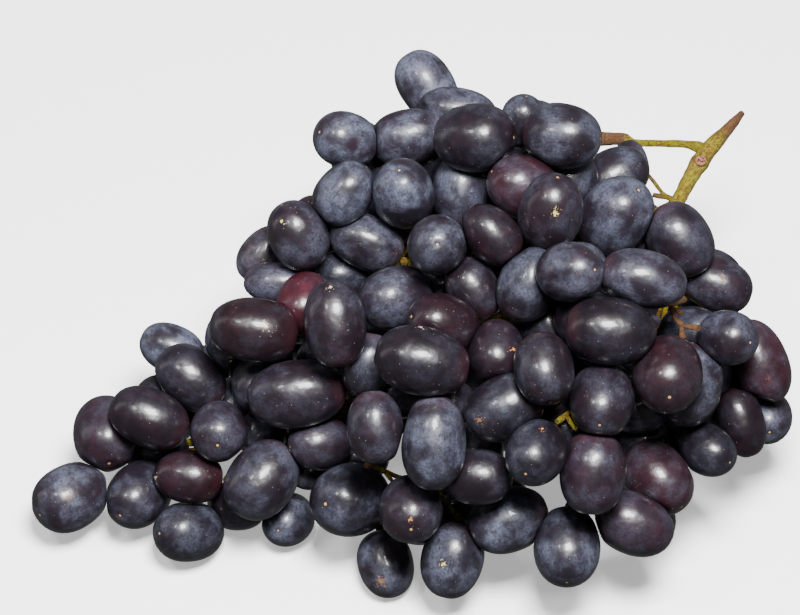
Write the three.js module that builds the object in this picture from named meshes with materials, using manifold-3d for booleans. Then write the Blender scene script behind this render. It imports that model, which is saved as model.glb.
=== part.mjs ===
// A bunch of dark grapes lying on a table, with its stem pointing up and to the right.
// Millimetres, +Z up. Seen from the front, +X is right and +Y points away from the viewer.
// Every visible grape is placed on the sight line on which it was read off the picture.

import * as THREE from "three";
import { mergeVertices } from "three/addons/utils/BufferGeometryUtils.js";
import Module from "manifold-3d";

const wasm = await Module();
wasm.setup();

// How the picture looks at the bunch. Grapes are 19 mm wide at the target's distance.
const PICTURE = {
  centreX: 400,
  centreY: 307.5,
  mmPerPixel: 0.305,
  elevation: THREE.MathUtils.degToRad(50),
  distance: 1200,
  target: new THREE.Vector3(0, 0, 40),
};

// Sizes of grapes
const LEAST_ELONGATION = 1.22; // length over width of the roundest grapes
const LAYER_STEP = 8; // how much deeper each layer of grapes lies
const CONTACT = 0.93; // touching grapes press this much into each other
const FLOOR_SINK = 0.7; // depth of the flat that a grape's weight presses
const HIDDEN_WIDTH = [17, 20];
const HIDDEN_LENGTH = [1.12, 1.28];
const HIDDEN_SPACING = 21;
const HOLLOW_HEART = 0.5; // share of the main body round its stems that holds no grapes

// Shapes
const FINE_SWELL = 1.03; // a faceted grape as large as the round one
const COARSE_SWELL = 1.06;
const FINE_LAYERS = 1; // grapes up to this layer have the finer facets
const PRESSED = 0.05; // share of their size by which fused grapes overlap
const NEAR = -0.1; // grapes this close may belong to one cluster, joined by a neck
const NECK_RADIUS = 2.2;
const NECK_SIDES = 4;
const NODE_GAP = 0.3; // kept between pieces that would touch
const SCRAP_VOLUME = 300;
const STEM_SIDES = 6;
const TWIG_SIDES = 4;
const PEDICEL_SIDES = 3;
const PEDICEL_RADIUS = 0.8;
const RECEPTACLE_RADIUS = 1.6;
const LONGEST_PEDICEL = 26;
const STEM_PRESS = 1; // how deep a hidden grape may press into a stem, which is cut back

// The bunch is a broad main body with a left shoulder and a low tip. Each is an ellipsoid
// through the centres of the outermost grapes.
const LOBES = [
  { centre: [34, -4, 40], half: [78, 80, 56] },
  { centre: [-22, -8, 28], half: [48, 50, 40] },
  { centre: [-62, -38, 12], half: [52, 26, 30] },
];
const HEART = new THREE.Vector3(20, -5, 35);

// Places in the picture where the table shows between the grapes or just beside them
const GAPS = [
  { px: 405, py: 465 },
  { px: 555, py: 493 },
  { px: 607, py: 150 },
  { px: 303, py: 494 },
  { px: 381, py: 527 },
  { px: 500, py: 88 },
  { px: 205, py: 312 },
  { px: 700, py: 490 },
  { px: 312, py: 175 },
];
const GAP_RADIUS = 3;

// One grape read off the picture: centre in pixels, length and width in mm, the turn of its
// long axis from +X in degrees, and how many layers it lies behind the outermost grapes.
const grape = (px, py, length, width, turn, layer) => ({ px, py, length, width, turn, layer });

const VISIBLE = {
  crown: [
    grape(427, 86, 23.4, 17.1, 122, 3),
    grape(458, 113, 24.4, 15.9, 168, 2),
    grape(474, 138, 24.4, 20.4, 0, 0),
    grape(408, 137, 22.6, 17.1, 12, 1),
    grape(346, 140, 19.5, 17.1, 165, -2),
    grape(345, 193, 20.7, 17.1, 50, 1),
    grape(403, 193, 20.4, 18.9, 100, 0),
    grape(461, 190, 22.6, 17.1, 85, 2),
    grape(491, 234, 19.5, 15.2, 135, 1),
    grape(437, 245, 17.7, 17.7, 0, 0),
    grape(366, 242, 23.2, 16.5, 155, 3),
    grape(430, 166, 17.5, 15, 90, 4),
  ],
  shoulder: [
    grape(524, 187, 22.6, 18.9, 155, 1),
    grape(551, 211, 22, 18.9, 80, 0),
    grape(562, 136, 23.5, 19.5, 175, 0),
    grape(522, 120, 15.2, 12.8, 80, 2),
    grape(613, 178, 22.6, 17.7, 30, 3),
    grape(616, 216, 24.1, 21.3, 50, 2),
    grape(631, 165, 15.2, 11, 100, 4),
  ],
  right: [
    grape(680, 240, 23.2, 18.9, 125, 2),
    grape(643, 279, 25, 17.1, 168, 1),
    grape(611, 331, 26.2, 19.8, 175, 0),
    grape(588, 318, 19.5, 17.1, 0, 2),
    grape(667, 374, 22, 20.7, 90, 0),
    grape(688, 384, 25, 20.1, 80, 1),
    grape(728, 337, 17.4, 15.9, 165, 0),
    grape(758, 362, 26.2, 17.7, 112, 1),
    grape(716, 284, 22, 16.2, 160, 3),
    grape(715, 274, 16.5, 14.6, 150, 4),
    grape(690, 333, 18.3, 15.9, 0, 2),
    grape(741, 421, 22, 14, 108, 0),
    grape(767, 418, 15.9, 15.2, 90, 2),
    grape(708, 450, 17.1, 15.2, 150, 1),
    grape(708, 378, 17.1, 13.4, 60, 3),
  ],
  middle: [
    grape(571, 272, 18.9, 17.4, 5, 0),
    grape(529, 285, 22.6, 18.3, 60, 1),
    grape(395, 298, 22, 18.9, 15, 2),
    grape(473, 289, 18.9, 15.2, 120, 2),
    grape(443, 325, 21.3, 18.3, 165, 1),
    grape(422, 361, 27.4, 20.1, 168, 0),
    grape(496, 352, 18.9, 16.5, 90, 1),
    grape(544, 369, 20.7, 17.4, 100, 0),
    grape(504, 408, 23.8, 18.9, 25, 1),
    grape(450, 402, 15.2, 13.4, 0, 2),
    grape(367, 365, 18.9, 15.2, 80, 2),
    grape(545, 325, 18.3, 17.1, 0, 3),
    grape(446, 281, 16.5, 14.6, 0, 4),
    grape(498, 267, 16.5, 14.6, 0, 4),
    grape(398, 394, 16.5, 15, 0, 4),
  ],
  left: [
    grape(298, 235, 21.3, 17.7, 118, 0),
    grape(313, 221, 15.2, 14, 90, 3),
    grape(264, 254, 18.9, 14, 50, 3),
    grape(278, 283, 20.7, 13.4, 175, 2),
    grape(254, 330, 26.2, 19.2, 172, 0),
    grape(232, 340, 18.3, 16.8, 90, 2),
    grape(335, 324, 25.6, 18.3, 95, 0),
    grape(297, 394, 29.3, 20.1, 8, 0),
    grape(256, 384, 17.1, 14.6, 90, 2),
    grape(345, 275, 18.3, 15.9, 0, 4),
  ],
  red: [
    grape(304, 303, 18.9, 16.5, 70, 1),
  ],
  low: [
    grape(602, 401, 20.7, 19.2, 80, 0),
    grape(637, 408, 18.3, 15.2, 0, 2),
    grape(657, 478, 23.2, 19.5, 130, 2),
    grape(593, 473, 23.8, 19.2, 87, 0),
    grape(634, 524, 23.8, 18.3, 155, 1),
    grape(567, 547, 22.9, 19.8, 88, 0),
    grape(509, 520, 23.8, 18.9, 20, 1),
    grape(536, 453, 18.9, 17.4, 60, 0),
    grape(478, 477, 20.1, 16.5, 0, 1),
    grape(676, 440, 18.9, 17.1, 0, 3),
    grape(640, 440, 17.7, 15.9, 0, 3),
    grape(562, 425, 19.5, 17.4, 0, 4),
  ],
  front: [
    grape(434, 443, 27.4, 18.9, 90, 0),
    grape(375, 427, 20.7, 16.5, 95, 0),
    grape(320, 444, 18.9, 15.9, 5, 2),
    grape(312, 468, 15.2, 13.4, 0, 3),
    grape(262, 480, 25, 20.7, 55, 0),
    grape(350, 500, 23.5, 22, 5, 1),
    grape(411, 510, 19.5, 18.6, 90, 0),
    grape(455, 510, 18.3, 15.2, 0, 3),
    grape(419, 522, 15.2, 14, 0, 2),
    grape(386, 564, 20.1, 16.8, 105, 1),
    grape(452, 560, 22.6, 18.3, 78, 0),
    grape(288, 520, 16.2, 15.6, 45, 1),
    grape(361, 458, 16.5, 15, 0, 3),
  ],
  tip: [
    grape(238, 505, 18.3, 15.2, 0, 2),
    grape(189, 532, 20.7, 18.3, 0, 0),
    grape(188, 477, 20.7, 15.9, 175, 1),
    grape(138, 495, 20.7, 18.9, 50, 2),
    grape(71, 497, 23.2, 20.1, 30, 0),
    grape(106, 433, 22.6, 20.1, 100, 2),
    grape(158, 452, 18.9, 16.5, 0, 3),
  ],
  wing: [
    grape(149, 418, 24.4, 17.7, 155, 0),
    grape(163, 398, 16.5, 14.6, 0, 2),
    grape(191, 378, 23.2, 17.7, 138, 1),
    grape(172, 349, 20.1, 15.2, 155, 2),
    grape(219, 431, 17.7, 17.1, 90, 0),
    grape(262, 432, 15.2, 13.4, 0, 3),
  ],
};

// Stems, each a line of [px, py, height over the table, radius]. The first list is the main
// stem from its dried cut end down through the middle of the bunch.
const MAIN_STEM = [
  [742, 113, 64, 1.4],
  [735, 121, 64, 1.8],
  [727, 130, 63.5, 2.0],
  [712, 146, 62, 3.0],
  [700, 162, 60.5, 2.6],
  [688, 182, 58, 2.3],
  [677, 202, 56, 2.1],
  [640, 233, 50, 2.0],
  [600, 260, 46, 2.0],
  [480, 330, 42, 1.8],
  [400, 378, 36, 1.7],
  [300, 435, 26, 1.5],
];

const SIDE_STEMS = {
  shoulder: [
    [709, 152, 61.5, 1.9],
    [698, 147, 60.5, 1.8],
    [690, 145, 60, 1.3],
    [660, 143.5, 58, 1.1],
    [632, 142, 55, 1.1],
    [626, 140, 54, 2.0],
    [602, 139, 50, 2.1],
    [575, 138, 46, 1.9],
    [520, 128, 42, 1.6],
    [430, 125, 36, 1.2],
  ],
  crown: [
    [600, 260, 46, 1.8],
    [500, 200, 50, 1.5],
    [420, 180, 46, 1.2],
  ],
  left: [
    [480, 330, 42, 1.8],
    [380, 290, 42, 1.5],
    [310, 275, 34, 1.2],
  ],
  right: [
    [640, 233, 50, 1.8],
    [670, 290, 48, 1.5],
    [690, 350, 40, 1.2],
  ],
  low: [
    [480, 330, 42, 1.8],
    [560, 400, 44, 1.5],
    [610, 450, 36, 1.2],
  ],
  front: [
    [400, 378, 36, 1.7],
    [440, 430, 34, 1.4],
    [430, 480, 28, 1.1],
  ],
  tip: [
    [300, 435, 26, 1.5],
    [262, 452, 14, 1.4],
    [225, 440, 13, 1.3],
    [140, 455, 12, 1.1],
  ],
};

// Bare twigs and pedicels in view, which have lost their grapes
const BARE_STEMS = {
  twig_root: [
    [676, 295, 48, 1.1],
    [684, 300, 60, 0.9],
    [677, 303, 70, 0.8],
    [671, 305, 74, 0.7],
  ],
  twig: [
    [671, 305, 74, 0.7],
    [675, 318, 76, 0.7],
    [683, 326, 77, 1.0],
  ],
  twig_stub: [
    [671, 307, 74, 0.6],
    [682, 314, 76, 0.9],
  ],
  twig_arm: [
    [683, 326, 77, 0.8],
    [692, 327, 77.5, 0.7],
    [699, 328, 78.5, 1.4],
  ],
  twig_foot: [
    [683, 326, 77, 0.8],
    [682, 333, 75, 0.8],
    [684, 339, 74, 1.3],
  ],
  front_pedicel: [
    [430, 480, 28, 0.9],
    [402, 478, 32, 0.7],
    [384, 471, 37, 0.8],
    [379, 469, 39, 0.6],
    [373, 466, 40.5, 0.8],
    [367, 464, 42, 1.8],
  ],
  front_arm: [
    [384, 471, 37, 0.7],
    [393, 482, 34, 0.6],
  ],
  low_fork_left: [
    [560, 400, 44, 0.9],
    [566, 415, 68, 0.8],
    [557, 422, 68.5, 1.2],
  ],
  low_fork_right: [
    [566, 415, 68, 0.8],
    [577, 430, 67, 1.0],
  ],
  neck_thin: [
    [677, 200, 56.2, 0.7],
    [665, 195, 57, 0.6],
    [654, 182, 58, 0.6],
    [646, 172, 58, 0.6],
  ],
  neck_stub: [
    [677, 201, 56, 0.8],
    [668, 198, 57, 0.6],
    [653, 195, 58, 1.0],
  ],
  neck_lateral: [
    [675, 204, 55.5, 1.1],
    [655, 211, 53, 0.9],
    [640, 220, 52, 0.8],
  ],
};

const COLOURS = {
  grape: { color: 0x24222c, roughness: 0.35, metalness: 0 },
  red: { color: 0x5a2733, roughness: 0.35, metalness: 0 },
  stem: { color: 0x8a9a3c, roughness: 0.7, metalness: 0 },
};

// The middle of the bunch's footprint, where the finished group has its origin
const FOOTPRINT_MIDDLE = new THREE.Vector3(4.25, -7.6, 0);

const RIGHT = new THREE.Vector3(1, 0, 0);
const AWAY = new THREE.Vector3(0, Math.cos(PICTURE.elevation), -Math.sin(PICTURE.elevation));
const UPWARD = new THREE.Vector3(0, Math.sin(PICTURE.elevation), Math.cos(PICTURE.elevation));

// The sight line through a pixel: its point at the target's distance, and its direction
function sightLine(px, py) {
  const offset = RIGHT.clone().multiplyScalar((px - PICTURE.centreX) * PICTURE.mmPerPixel);
  offset.addScaledVector(UPWARD, (PICTURE.centreY - py) * PICTURE.mmPerPixel);
  const along = AWAY.clone().addScaledVector(offset, 1 / PICTURE.distance);
  return { start: offset.add(PICTURE.target), along };
}

function pointAt(line, depth) {
  return line.start.clone().addScaledVector(line.along, depth);
}

// The point of a pixel's sight line at a height over the table
function pictured(px, py, height) {
  const line = sightLine(px, py);
  return pointAt(line, (height - line.start.z) / line.along.z);
}

// Where a point shows in the picture, in mm at the target's distance, and how deep it lies
function seen(point) {
  const offset = point.clone().sub(PICTURE.target);
  const depth = offset.dot(AWAY);
  const shrink = 1 + depth / PICTURE.distance;
  return { x: offset.dot(RIGHT) / shrink, y: offset.dot(UPWARD) / shrink, depth };
}

// Depth at which a sight line first meets the lobes, or passes closest to one
function firstHit(line) {
  let nearest = Infinity;
  let passing = 0;
  let leastMiss = Infinity;
  for (const lobe of LOBES) {
    const half = new THREE.Vector3(...lobe.half);
    const start = line.start.clone().sub(new THREE.Vector3(...lobe.centre)).divide(half);
    const along = line.along.clone().divide(half);
    const a = along.dot(along);
    const b = start.dot(along);
    const c = start.dot(start) - 1;
    const inside = b * b - a * c;
    if (inside >= 0) {
      nearest = Math.min(nearest, (-b - Math.sqrt(inside)) / a);
    } else if (-inside < leastMiss * a) {
      leastMiss = -inside / a;
      passing = -b / a;
    }
  }
  return nearest < Infinity ? nearest : passing;
}

// A grape's radius towards a direction, and half its height
function reach(ball, direction) {
  const along = ball.axis.dot(direction);
  const across = 1 / ball.halfWidth ** 2;
  return 1 / Math.sqrt(across + along * along * (1 / ball.halfLength ** 2 - across));
}

function halfHeight(ball) {
  const { halfWidth, halfLength, axis } = ball;
  return Math.sqrt(halfWidth ** 2 + (halfLength ** 2 - halfWidth ** 2) * axis.z ** 2);
}

// Two grapes touch at this distance between their centres
function touching(first, second, direction) {
  return CONTACT * (reach(first, direction) + reach(second, direction));
}

// A visible grape. A rounder outline than a grape's own means that it leans towards the viewer.
function visibleGrape(reading, cluster) {
  const line = sightLine(reading.px, reading.py);
  const outline = reading.length / reading.width;
  const elongation = Math.max(outline, LEAST_ELONGATION);
  const flatShare = Math.sqrt((outline ** 2 - 1) / (elongation ** 2 - 1));
  const turn = THREE.MathUtils.degToRad(reading.turn);
  const wanted = firstHit(line) + reading.layer * LAYER_STEP;
  const axis = RIGHT.clone().multiplyScalar(Math.cos(turn));
  axis.addScaledVector(UPWARD, Math.sin(turn));
  if (axis.dot(pointAt(line, wanted).sub(HEART)) < 0) {
    axis.negate();
  }
  axis.multiplyScalar(flatShare).addScaledVector(AWAY, -Math.sqrt(1 - flatShare ** 2));
  return {
    cluster,
    line,
    wanted,
    depth: wanted,
    layer: reading.layer,
    turn,
    outlineHalf: [reading.length / 2, reading.width / 2],
    centre: pointAt(line, wanted),
    axis,
    halfLength: (reading.width / 2) * elongation,
    halfWidth: reading.width / 2,
    visible: true,
  };
}

// Visible grapes only move along their sight lines, so each still shows where it was read.
// A lower layer stays in front, grapes that overlap come apart, one that touches no other
// moves towards the nearest, and none sinks into the table.
function settleVisible(grapes) {
  const rounds = 250;
  const pull = 0.04;
  const longestStep = 2;
  for (let round = 0; round < rounds; round += 1) {
    const moves = grapes.map(() => 0);
    const closing = grapes.map(() => Infinity);
    for (let i = 0; i < grapes.length; i += 1) {
      for (let j = i + 1; j < grapes.length; j += 1) {
        const apart = grapes[j].centre.clone().sub(grapes[i].centre);
        const distance = apart.length();
        const touch = touching(grapes[i], grapes[j], apart.divideScalar(distance));
        const behind = grapes[j].depth - grapes[i].depth;
        const order = Math.sign(grapes[j].layer - grapes[i].layer) || Math.sign(behind) || 1;
        const sideways = Math.max(0, distance ** 2 - behind ** 2);
        const spare = Math.max(0, touch ** 2 - sideways);
        const wanting = Math.sqrt(spare) - order * behind;
        if (distance < touch && wanting > 0) {
          moves[i] -= (order * wanting) / 4;
          moves[j] += (order * wanting) / 4;
        }
        if (distance < touch * 1.01) {
          closing[i] = 0;
          closing[j] = 0;
        } else if (CONTACT * Math.sqrt(sideways) < touch) {
          closing[i] = nearerZero(closing[i], -order * wanting);
          closing[j] = nearerZero(closing[j], order * wanting);
        }
      }
    }
    grapes.forEach((ball, index) => {
      const step = moves[index] + (closing[index] < Infinity ? closing[index] / 3 : 0);
      ball.depth += THREE.MathUtils.clamp(step, -longestStep, longestStep);
      ball.depth += pull * (ball.wanted - ball.depth);
      const height = ball.line.start.z + ball.line.along.z * ball.depth;
      const lowest = halfHeight(ball) - FLOOR_SINK;
      if (height < lowest) {
        ball.depth += (lowest - height) / ball.line.along.z;
      }
      ball.centre = pointAt(ball.line, ball.depth);
    });
  }
}

function nearerZero(first, second) {
  return Math.abs(second) < Math.abs(first) ? second : first;
}

// The places of a stem, and its straight pieces between them
function stemPlaces(points) {
  return points.map(([px, py, height, radius]) => ({ point: pictured(px, py, height), radius }));
}

function stemPieces(places) {
  return places.slice(1).map((end, index) => ({ start: places[index], end }));
}

// How deep a grape lies in a piece of stem, and its way out
function stemOverlap(piece, ball) {
  const line = new THREE.Line3(piece.start.point, piece.end.point);
  const foot = line.closestPointToPoint(ball.centre, true, new THREE.Vector3());
  const way = ball.centre.clone().sub(foot);
  const distance = way.length();
  const radius = Math.max(piece.start.radius, piece.end.radius);
  way.divideScalar(distance);
  return { way, depth: reach(ball, way) * COARSE_SWELL + radius + NODE_GAP - distance };
}

// Seeded draws between 0 and 1
function seededDraws(seed) {
  let state = seed;
  return () => {
    state = (state + 0x6d2b79f5) >>> 0;
    let mixed = Math.imul(state ^ (state >>> 15), state | 1);
    mixed = (mixed + Math.imul(mixed ^ (mixed >>> 7), mixed | 61)) ^ mixed;
    return ((mixed ^ (mixed >>> 14)) >>> 0) / 4294967296;
  };
}

// Between the middle of the main body and the surface of the lobes
function insideLobes(point) {
  const shares = LOBES.map((lobe) => {
    const offset = point.clone().sub(new THREE.Vector3(...lobe.centre));
    return offset.divide(new THREE.Vector3(...lobe.half)).length();
  });
  return Math.min(...shares) <= 1 && shares[0] > HOLLOW_HEART;
}

// A hidden grape may not show past the visible ones: eight points round its outline and its
// centre each lie behind one of them.
function isCovered(ball, visible) {
  const place = seen(ball.centre);
  const spots = [[place.x, place.y]];
  for (let step = 0; step < 8; step += 1) {
    const angle = (step * Math.PI) / 4;
    spots.push([
      place.x + ball.halfWidth * Math.cos(angle),
      place.y + ball.halfWidth * Math.sin(angle),
    ]);
  }
  return spots.every(([x, y]) =>
    visible.some((cover) => {
      const centre = seen(cover.centre);
      const dx = x - centre.x;
      const dy = y - centre.y;
      const long = dx * Math.cos(cover.turn) + dy * Math.sin(cover.turn);
      const wide = dy * Math.cos(cover.turn) - dx * Math.sin(cover.turn);
      const [halfLong, halfWide] = cover.outlineHalf;
      return cover.depth < place.depth && (long / halfLong) ** 2 + (wide / halfWide) ** 2 < 1.3;
    }),
  );
}

function blocksGap(ball) {
  const place = seen(ball.centre);
  return GAPS.some((gap) => {
    const x = (gap.px - PICTURE.centreX) * PICTURE.mmPerPixel;
    const y = (PICTURE.centreY - gap.py) * PICTURE.mmPerPixel;
    return Math.hypot(place.x - x, place.y - y) < ball.halfLength + GAP_RADIUS;
  });
}

// Hidden grapes start on a close-packed grid through the lobes, jittered
function hiddenGrapes(visible, pieces) {
  const draw = seededDraws(20);
  const between = ([low, high]) => low + (high - low) * draw();
  const jitter = () => 4 * (draw() - 0.5);
  const found = [];
  for (let layer = 0; layer < 6; layer += 1) {
    for (let row = -6; row <= 6; row += 1) {
      for (let column = -7; column <= 7; column += 1) {
        const x = (column + (row & 1) / 2 + (layer & 1) / 2) * HIDDEN_SPACING;
        const y = (row * Math.sqrt(0.75) + (layer & 1) * Math.sqrt(1 / 12)) * HIDDEN_SPACING;
        const z = 9.5 + layer * Math.sqrt(2 / 3) * HIDDEN_SPACING;
        const centre = new THREE.Vector3(x + jitter(), y + jitter(), z);
        const halfWidth = between(HIDDEN_WIDTH) / 2;
        const halfLength = halfWidth * between(HIDDEN_LENGTH);
        const axis = centre.clone().sub(HEART).normalize();
        axis.add(new THREE.Vector3(jitter(), jitter(), jitter()).multiplyScalar(0.2)).normalize();
        const ball = { centre, halfWidth, halfLength, axis, visible: false };
        if (insideLobes(centre) && mayStart(ball, visible)) {
          found.push(ball);
        }
      }
    }
  }
  settleHidden(found, visible, pieces);
  return found.filter((ball) => mayStay(ball, visible, pieces));
}

function mayStart(ball, visible) {
  const crowded = visible.some((other) => overlap(ball, other) > 0.35);
  return !crowded && !blocksGap(ball) && isCovered(ball, visible);
}

function mayStay(ball, visible, pieces) {
  const crowded = visible.some((other) => overlap(ball, other) > 0.2);
  const onStem = pieces.some((piece) => stemOverlap(piece, ball).depth > STEM_PRESS);
  return !crowded && !onStem && !blocksGap(ball) && isCovered(ball, visible);
}

// Hidden grapes push each other, the visible ones and the stems push them, and the table
// holds them up
function settleHidden(hidden, visible, pieces) {
  const rounds = 80;
  for (let round = 0; round < rounds; round += 1) {
    const moves = hidden.map(() => new THREE.Vector3());
    hidden.forEach((ball, index) => {
      for (const other of [...hidden, ...visible]) {
        const apart = ball.centre.clone().sub(other.centre);
        const distance = apart.length();
        if (other !== ball && distance < 30) {
          const touch = touching(ball, other, apart.divideScalar(distance));
          if (distance < touch) {
            const share = other.visible ? 0.5 : 0.25;
            moves[index].addScaledVector(apart, share * (touch - distance));
          }
        }
      }
      for (const piece of pieces) {
        const { way, depth } = stemOverlap(piece, ball);
        moves[index].addScaledVector(way, Math.max(0, depth));
      }
    });
    hidden.forEach((ball, index) => {
      ball.centre.add(moves[index].clampLength(0, 2));
      ball.centre.z = Math.max(ball.centre.z, halfHeight(ball) - FLOOR_SINK);
    });
  }
}

function overlap(first, second) {
  const apart = second.centre.clone().sub(first.centre);
  const distance = apart.length();
  const sum = touching(first, second, apart.divideScalar(distance)) / CONTACT;
  return 1 - distance / sum;
}

// A hidden grape belongs to the cluster of the nearest visible one. Whatever doesn't reach
// the bulk of its cluster from grape to grape goes to a neighbour's.
function assignClusters(grapes) {
  const visible = grapes.filter((ball) => ball.visible);
  for (const ball of grapes) {
    if (!ball.visible) {
      const near = visible
        .filter((other) => other.cluster !== "red")
        .sort((a, b) => a.centre.distanceTo(ball.centre) - b.centre.distanceTo(ball.centre));
      ball.cluster = near[0].cluster;
    }
  }
  const neighbours = grapes.map((ball) =>
    grapes.filter((other) => other !== ball && overlap(ball, other) > NEAR),
  );
  for (let round = 0; round < 6; round += 1) {
    for (const cluster of Object.keys(VISIBLE)) {
      const groups = joinedGroups(grapes, neighbours, cluster);
      for (const group of groups.slice(1)) {
        for (const ball of group) {
          const around = neighbours[grapes.indexOf(ball)];
          const outside = around.find(
            (other) => other.cluster !== cluster && other.cluster !== "red",
          );
          if (outside) {
            ball.cluster = outside.cluster;
          }
        }
      }
    }
  }
}

// The groups of a cluster's grapes that lie together, largest first
function joinedGroups(grapes, neighbours, cluster) {
  const left = new Set(grapes.filter((ball) => ball.cluster === cluster));
  const groups = [];
  for (const first of left) {
    const group = [first];
    left.delete(first);
    for (const ball of group) {
      for (const other of neighbours[grapes.indexOf(ball)]) {
        if (left.delete(other)) {
          group.push(other);
        }
      }
    }
    groups.push(group);
  }
  return groups.sort((a, b) => b.length - a.length);
}

// A closed solid from a geometry, with its shared corners merged and empty triangles left out
function solidOf(geometry) {
  const bare = geometry.clone();
  bare.deleteAttribute("normal");
  bare.deleteAttribute("uv");
  const merged = mergeVertices(bare, 1e-4);
  const index = merged.index.array;
  const kept = [];
  for (let corner = 0; corner < index.length; corner += 3) {
    const [a, b, c] = index.slice(corner, corner + 3);
    if (a !== b && b !== c && c !== a) {
      kept.push(a, b, c);
    }
  }
  const mesh = new wasm.Mesh({
    numProp: 3,
    vertProperties: new Float32Array(merged.attributes.position.array),
    triVerts: new Uint32Array(kept),
  });
  return new wasm.Manifold(mesh);
}

const FINE_BALL = new THREE.SphereGeometry(1, 8, 5);
const COARSE_BALL = new THREE.OctahedronGeometry(1, 1);

// A faceted grape, grown by a margin
function ballSolid(ball, margin) {
  const fine = ball.visible && ball.layer <= FINE_LAYERS;
  const swell = fine ? FINE_SWELL : COARSE_SWELL;
  const shape = (fine ? FINE_BALL : COARSE_BALL).clone();
  const wide = ball.halfWidth * swell + margin;
  shape.scale(wide, ball.halfLength * swell + margin, wide);
  const up = new THREE.Vector3(0, 1, 0);
  shape.applyQuaternion(new THREE.Quaternion().setFromUnitVectors(up, ball.axis));
  shape.translate(...ball.centre);
  return solidOf(shape);
}

// A length of stem: a rod turned with one ring for each place, then bent so that each ring
// stands square to the stem there
function rodSolid(places, sides) {
  const last = places.length - 1;
  const profile = [new THREE.Vector2(0, 0)];
  places.forEach(({ radius }, ring) => profile.push(new THREE.Vector2(radius, ring)));
  profile.push(new THREE.Vector2(0, last));
  const shape = new THREE.LatheGeometry(profile, sides);
  const up = new THREE.Vector3(0, 1, 0);
  const turns = places.map((place, ring) => {
    const before = places[Math.max(0, ring - 1)].point;
    const after = places[Math.min(last, ring + 1)].point;
    const way = after.clone().sub(before).normalize();
    return new THREE.Quaternion().setFromUnitVectors(up, way);
  });
  const corners = shape.attributes.position;
  for (let corner = 0; corner < corners.count; corner += 1) {
    const ring = corners.getY(corner);
    const offset = new THREE.Vector3(corners.getX(corner), 0, corners.getZ(corner));
    const place = offset.applyQuaternion(turns[ring]).add(places[ring].point);
    corners.setXYZ(corner, ...place);
  }
  return solidOf(shape);
}

// Necks through the places where grapes of one cluster only touch, so that all of them
// hold together: the shortest links from each group that presses together to the rest
function necksOf(members, margin) {
  const joined = [members[0]];
  const left = members.slice(1);
  const necks = [];
  while (left.length > 0) {
    let best = { share: -Infinity };
    for (const from of joined) {
      for (const to of left) {
        const share = overlap(from, to);
        if (share > best.share) {
          best = { share, from, to };
        }
      }
    }
    joined.push(best.to);
    left.splice(left.indexOf(best.to), 1);
    if (best.share < PRESSED) {
      const ends = [best.from, best.to];
      const radius = NECK_RADIUS + margin;
      const places = ends.map(({ centre }) => ({ point: centre, radius }));
      necks.push(rodSolid(places, NECK_SIDES));
    }
  }
  return necks;
}

// The pedicel of a grape: from just off its inner end straight to the nearest stem that no
// other grape stands in front of
function pedicelOf(ball, grapes, pieces) {
  const offEnd = ball.halfLength * COARSE_SWELL + NODE_GAP;
  const root = ball.centre.clone().addScaledVector(ball.axis, -offEnd);
  let best = null;
  for (const piece of pieces) {
    const line = new THREE.Line3(piece.start.point, piece.end.point);
    for (let step = 0; step <= 4; step += 1) {
      const foot = line.at(step / 4, new THREE.Vector3());
      const length = foot.distanceTo(root);
      if (length < (best ? best.length : LONGEST_PEDICEL)) {
        const way = new THREE.Line3(root, foot);
        const clear = grapes.every((other) => {
          const near = way.closestPointToPoint(other.centre, true, new THREE.Vector3());
          const apart = near.clone().sub(other.centre);
          const distance = apart.length();
          const radius = reach(other, apart.divideScalar(distance));
          const room = COARSE_SWELL * radius + PEDICEL_RADIUS + NODE_GAP;
          return other === ball ? distance >= radius : distance > room;
        });
        if (clear) {
          best = { root, foot, length };
        }
      }
    }
  }
  return best;
}

// One mesh for each body of a solid, largest first, without the scraps that a cut left loose
function meshesOf(name, solid, finish) {
  const { vertProperties, triVerts, numProp } = solid.getMesh();
  const corner = (index) =>
    new THREE.Vector3(...vertProperties.subarray(index * numProp, index * numProp + 3));
  const bodies = bodiesOf(triVerts, vertProperties.length / numProp)
    .map((triangles) => ({ triangles, volume: volumeOf(triangles, corner) }))
    .filter((body) => body.volume > SCRAP_VOLUME)
    .sort((a, b) => b.volume - a.volume);
  return bodies.map(({ triangles }, order) => {
    const used = [...new Set(triangles)];
    const place = new Map(used.map((index, at) => [index, at]));
    const geometry = new THREE.BufferGeometry();
    geometry.setFromPoints(used.map(corner));
    geometry.setIndex(triangles.map((index) => place.get(index)));
    geometry.computeVertexNormals();
    const mesh = new THREE.Mesh(geometry, new THREE.MeshStandardMaterial(finish));
    mesh.name = order === 0 ? name : `${name}_${order + 1}`;
    return mesh;
  });
}

function volumeOf(triangles, corner) {
  let volume = 0;
  for (let at = 0; at < triangles.length; at += 3) {
    const [a, b, c] = triangles.slice(at, at + 3).map(corner);
    volume += a.dot(b.cross(c)) / 6;
  }
  return volume;
}

// The triangles of each body, told apart by their shared corners
function bodiesOf(triangles, cornerCount) {
  const parent = Array.from({ length: cornerCount }, (_, index) => index);
  const rootOf = (corner) => {
    let root = corner;
    while (parent[root] !== root) {
      parent[root] = parent[parent[root]];
      root = parent[root];
    }
    return root;
  };
  for (let at = 0; at < triangles.length; at += 3) {
    parent[rootOf(triangles[at])] = rootOf(triangles[at + 1]);
    parent[rootOf(triangles[at + 1])] = rootOf(triangles[at + 2]);
  }
  const bodies = new Map();
  for (let at = 0; at < triangles.length; at += 3) {
    const root = rootOf(triangles[at]);
    const body = bodies.get(root) || [];
    body.push(...triangles.slice(at, at + 3));
    bodies.set(root, body);
  }
  return [...bodies.values()];
}

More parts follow.
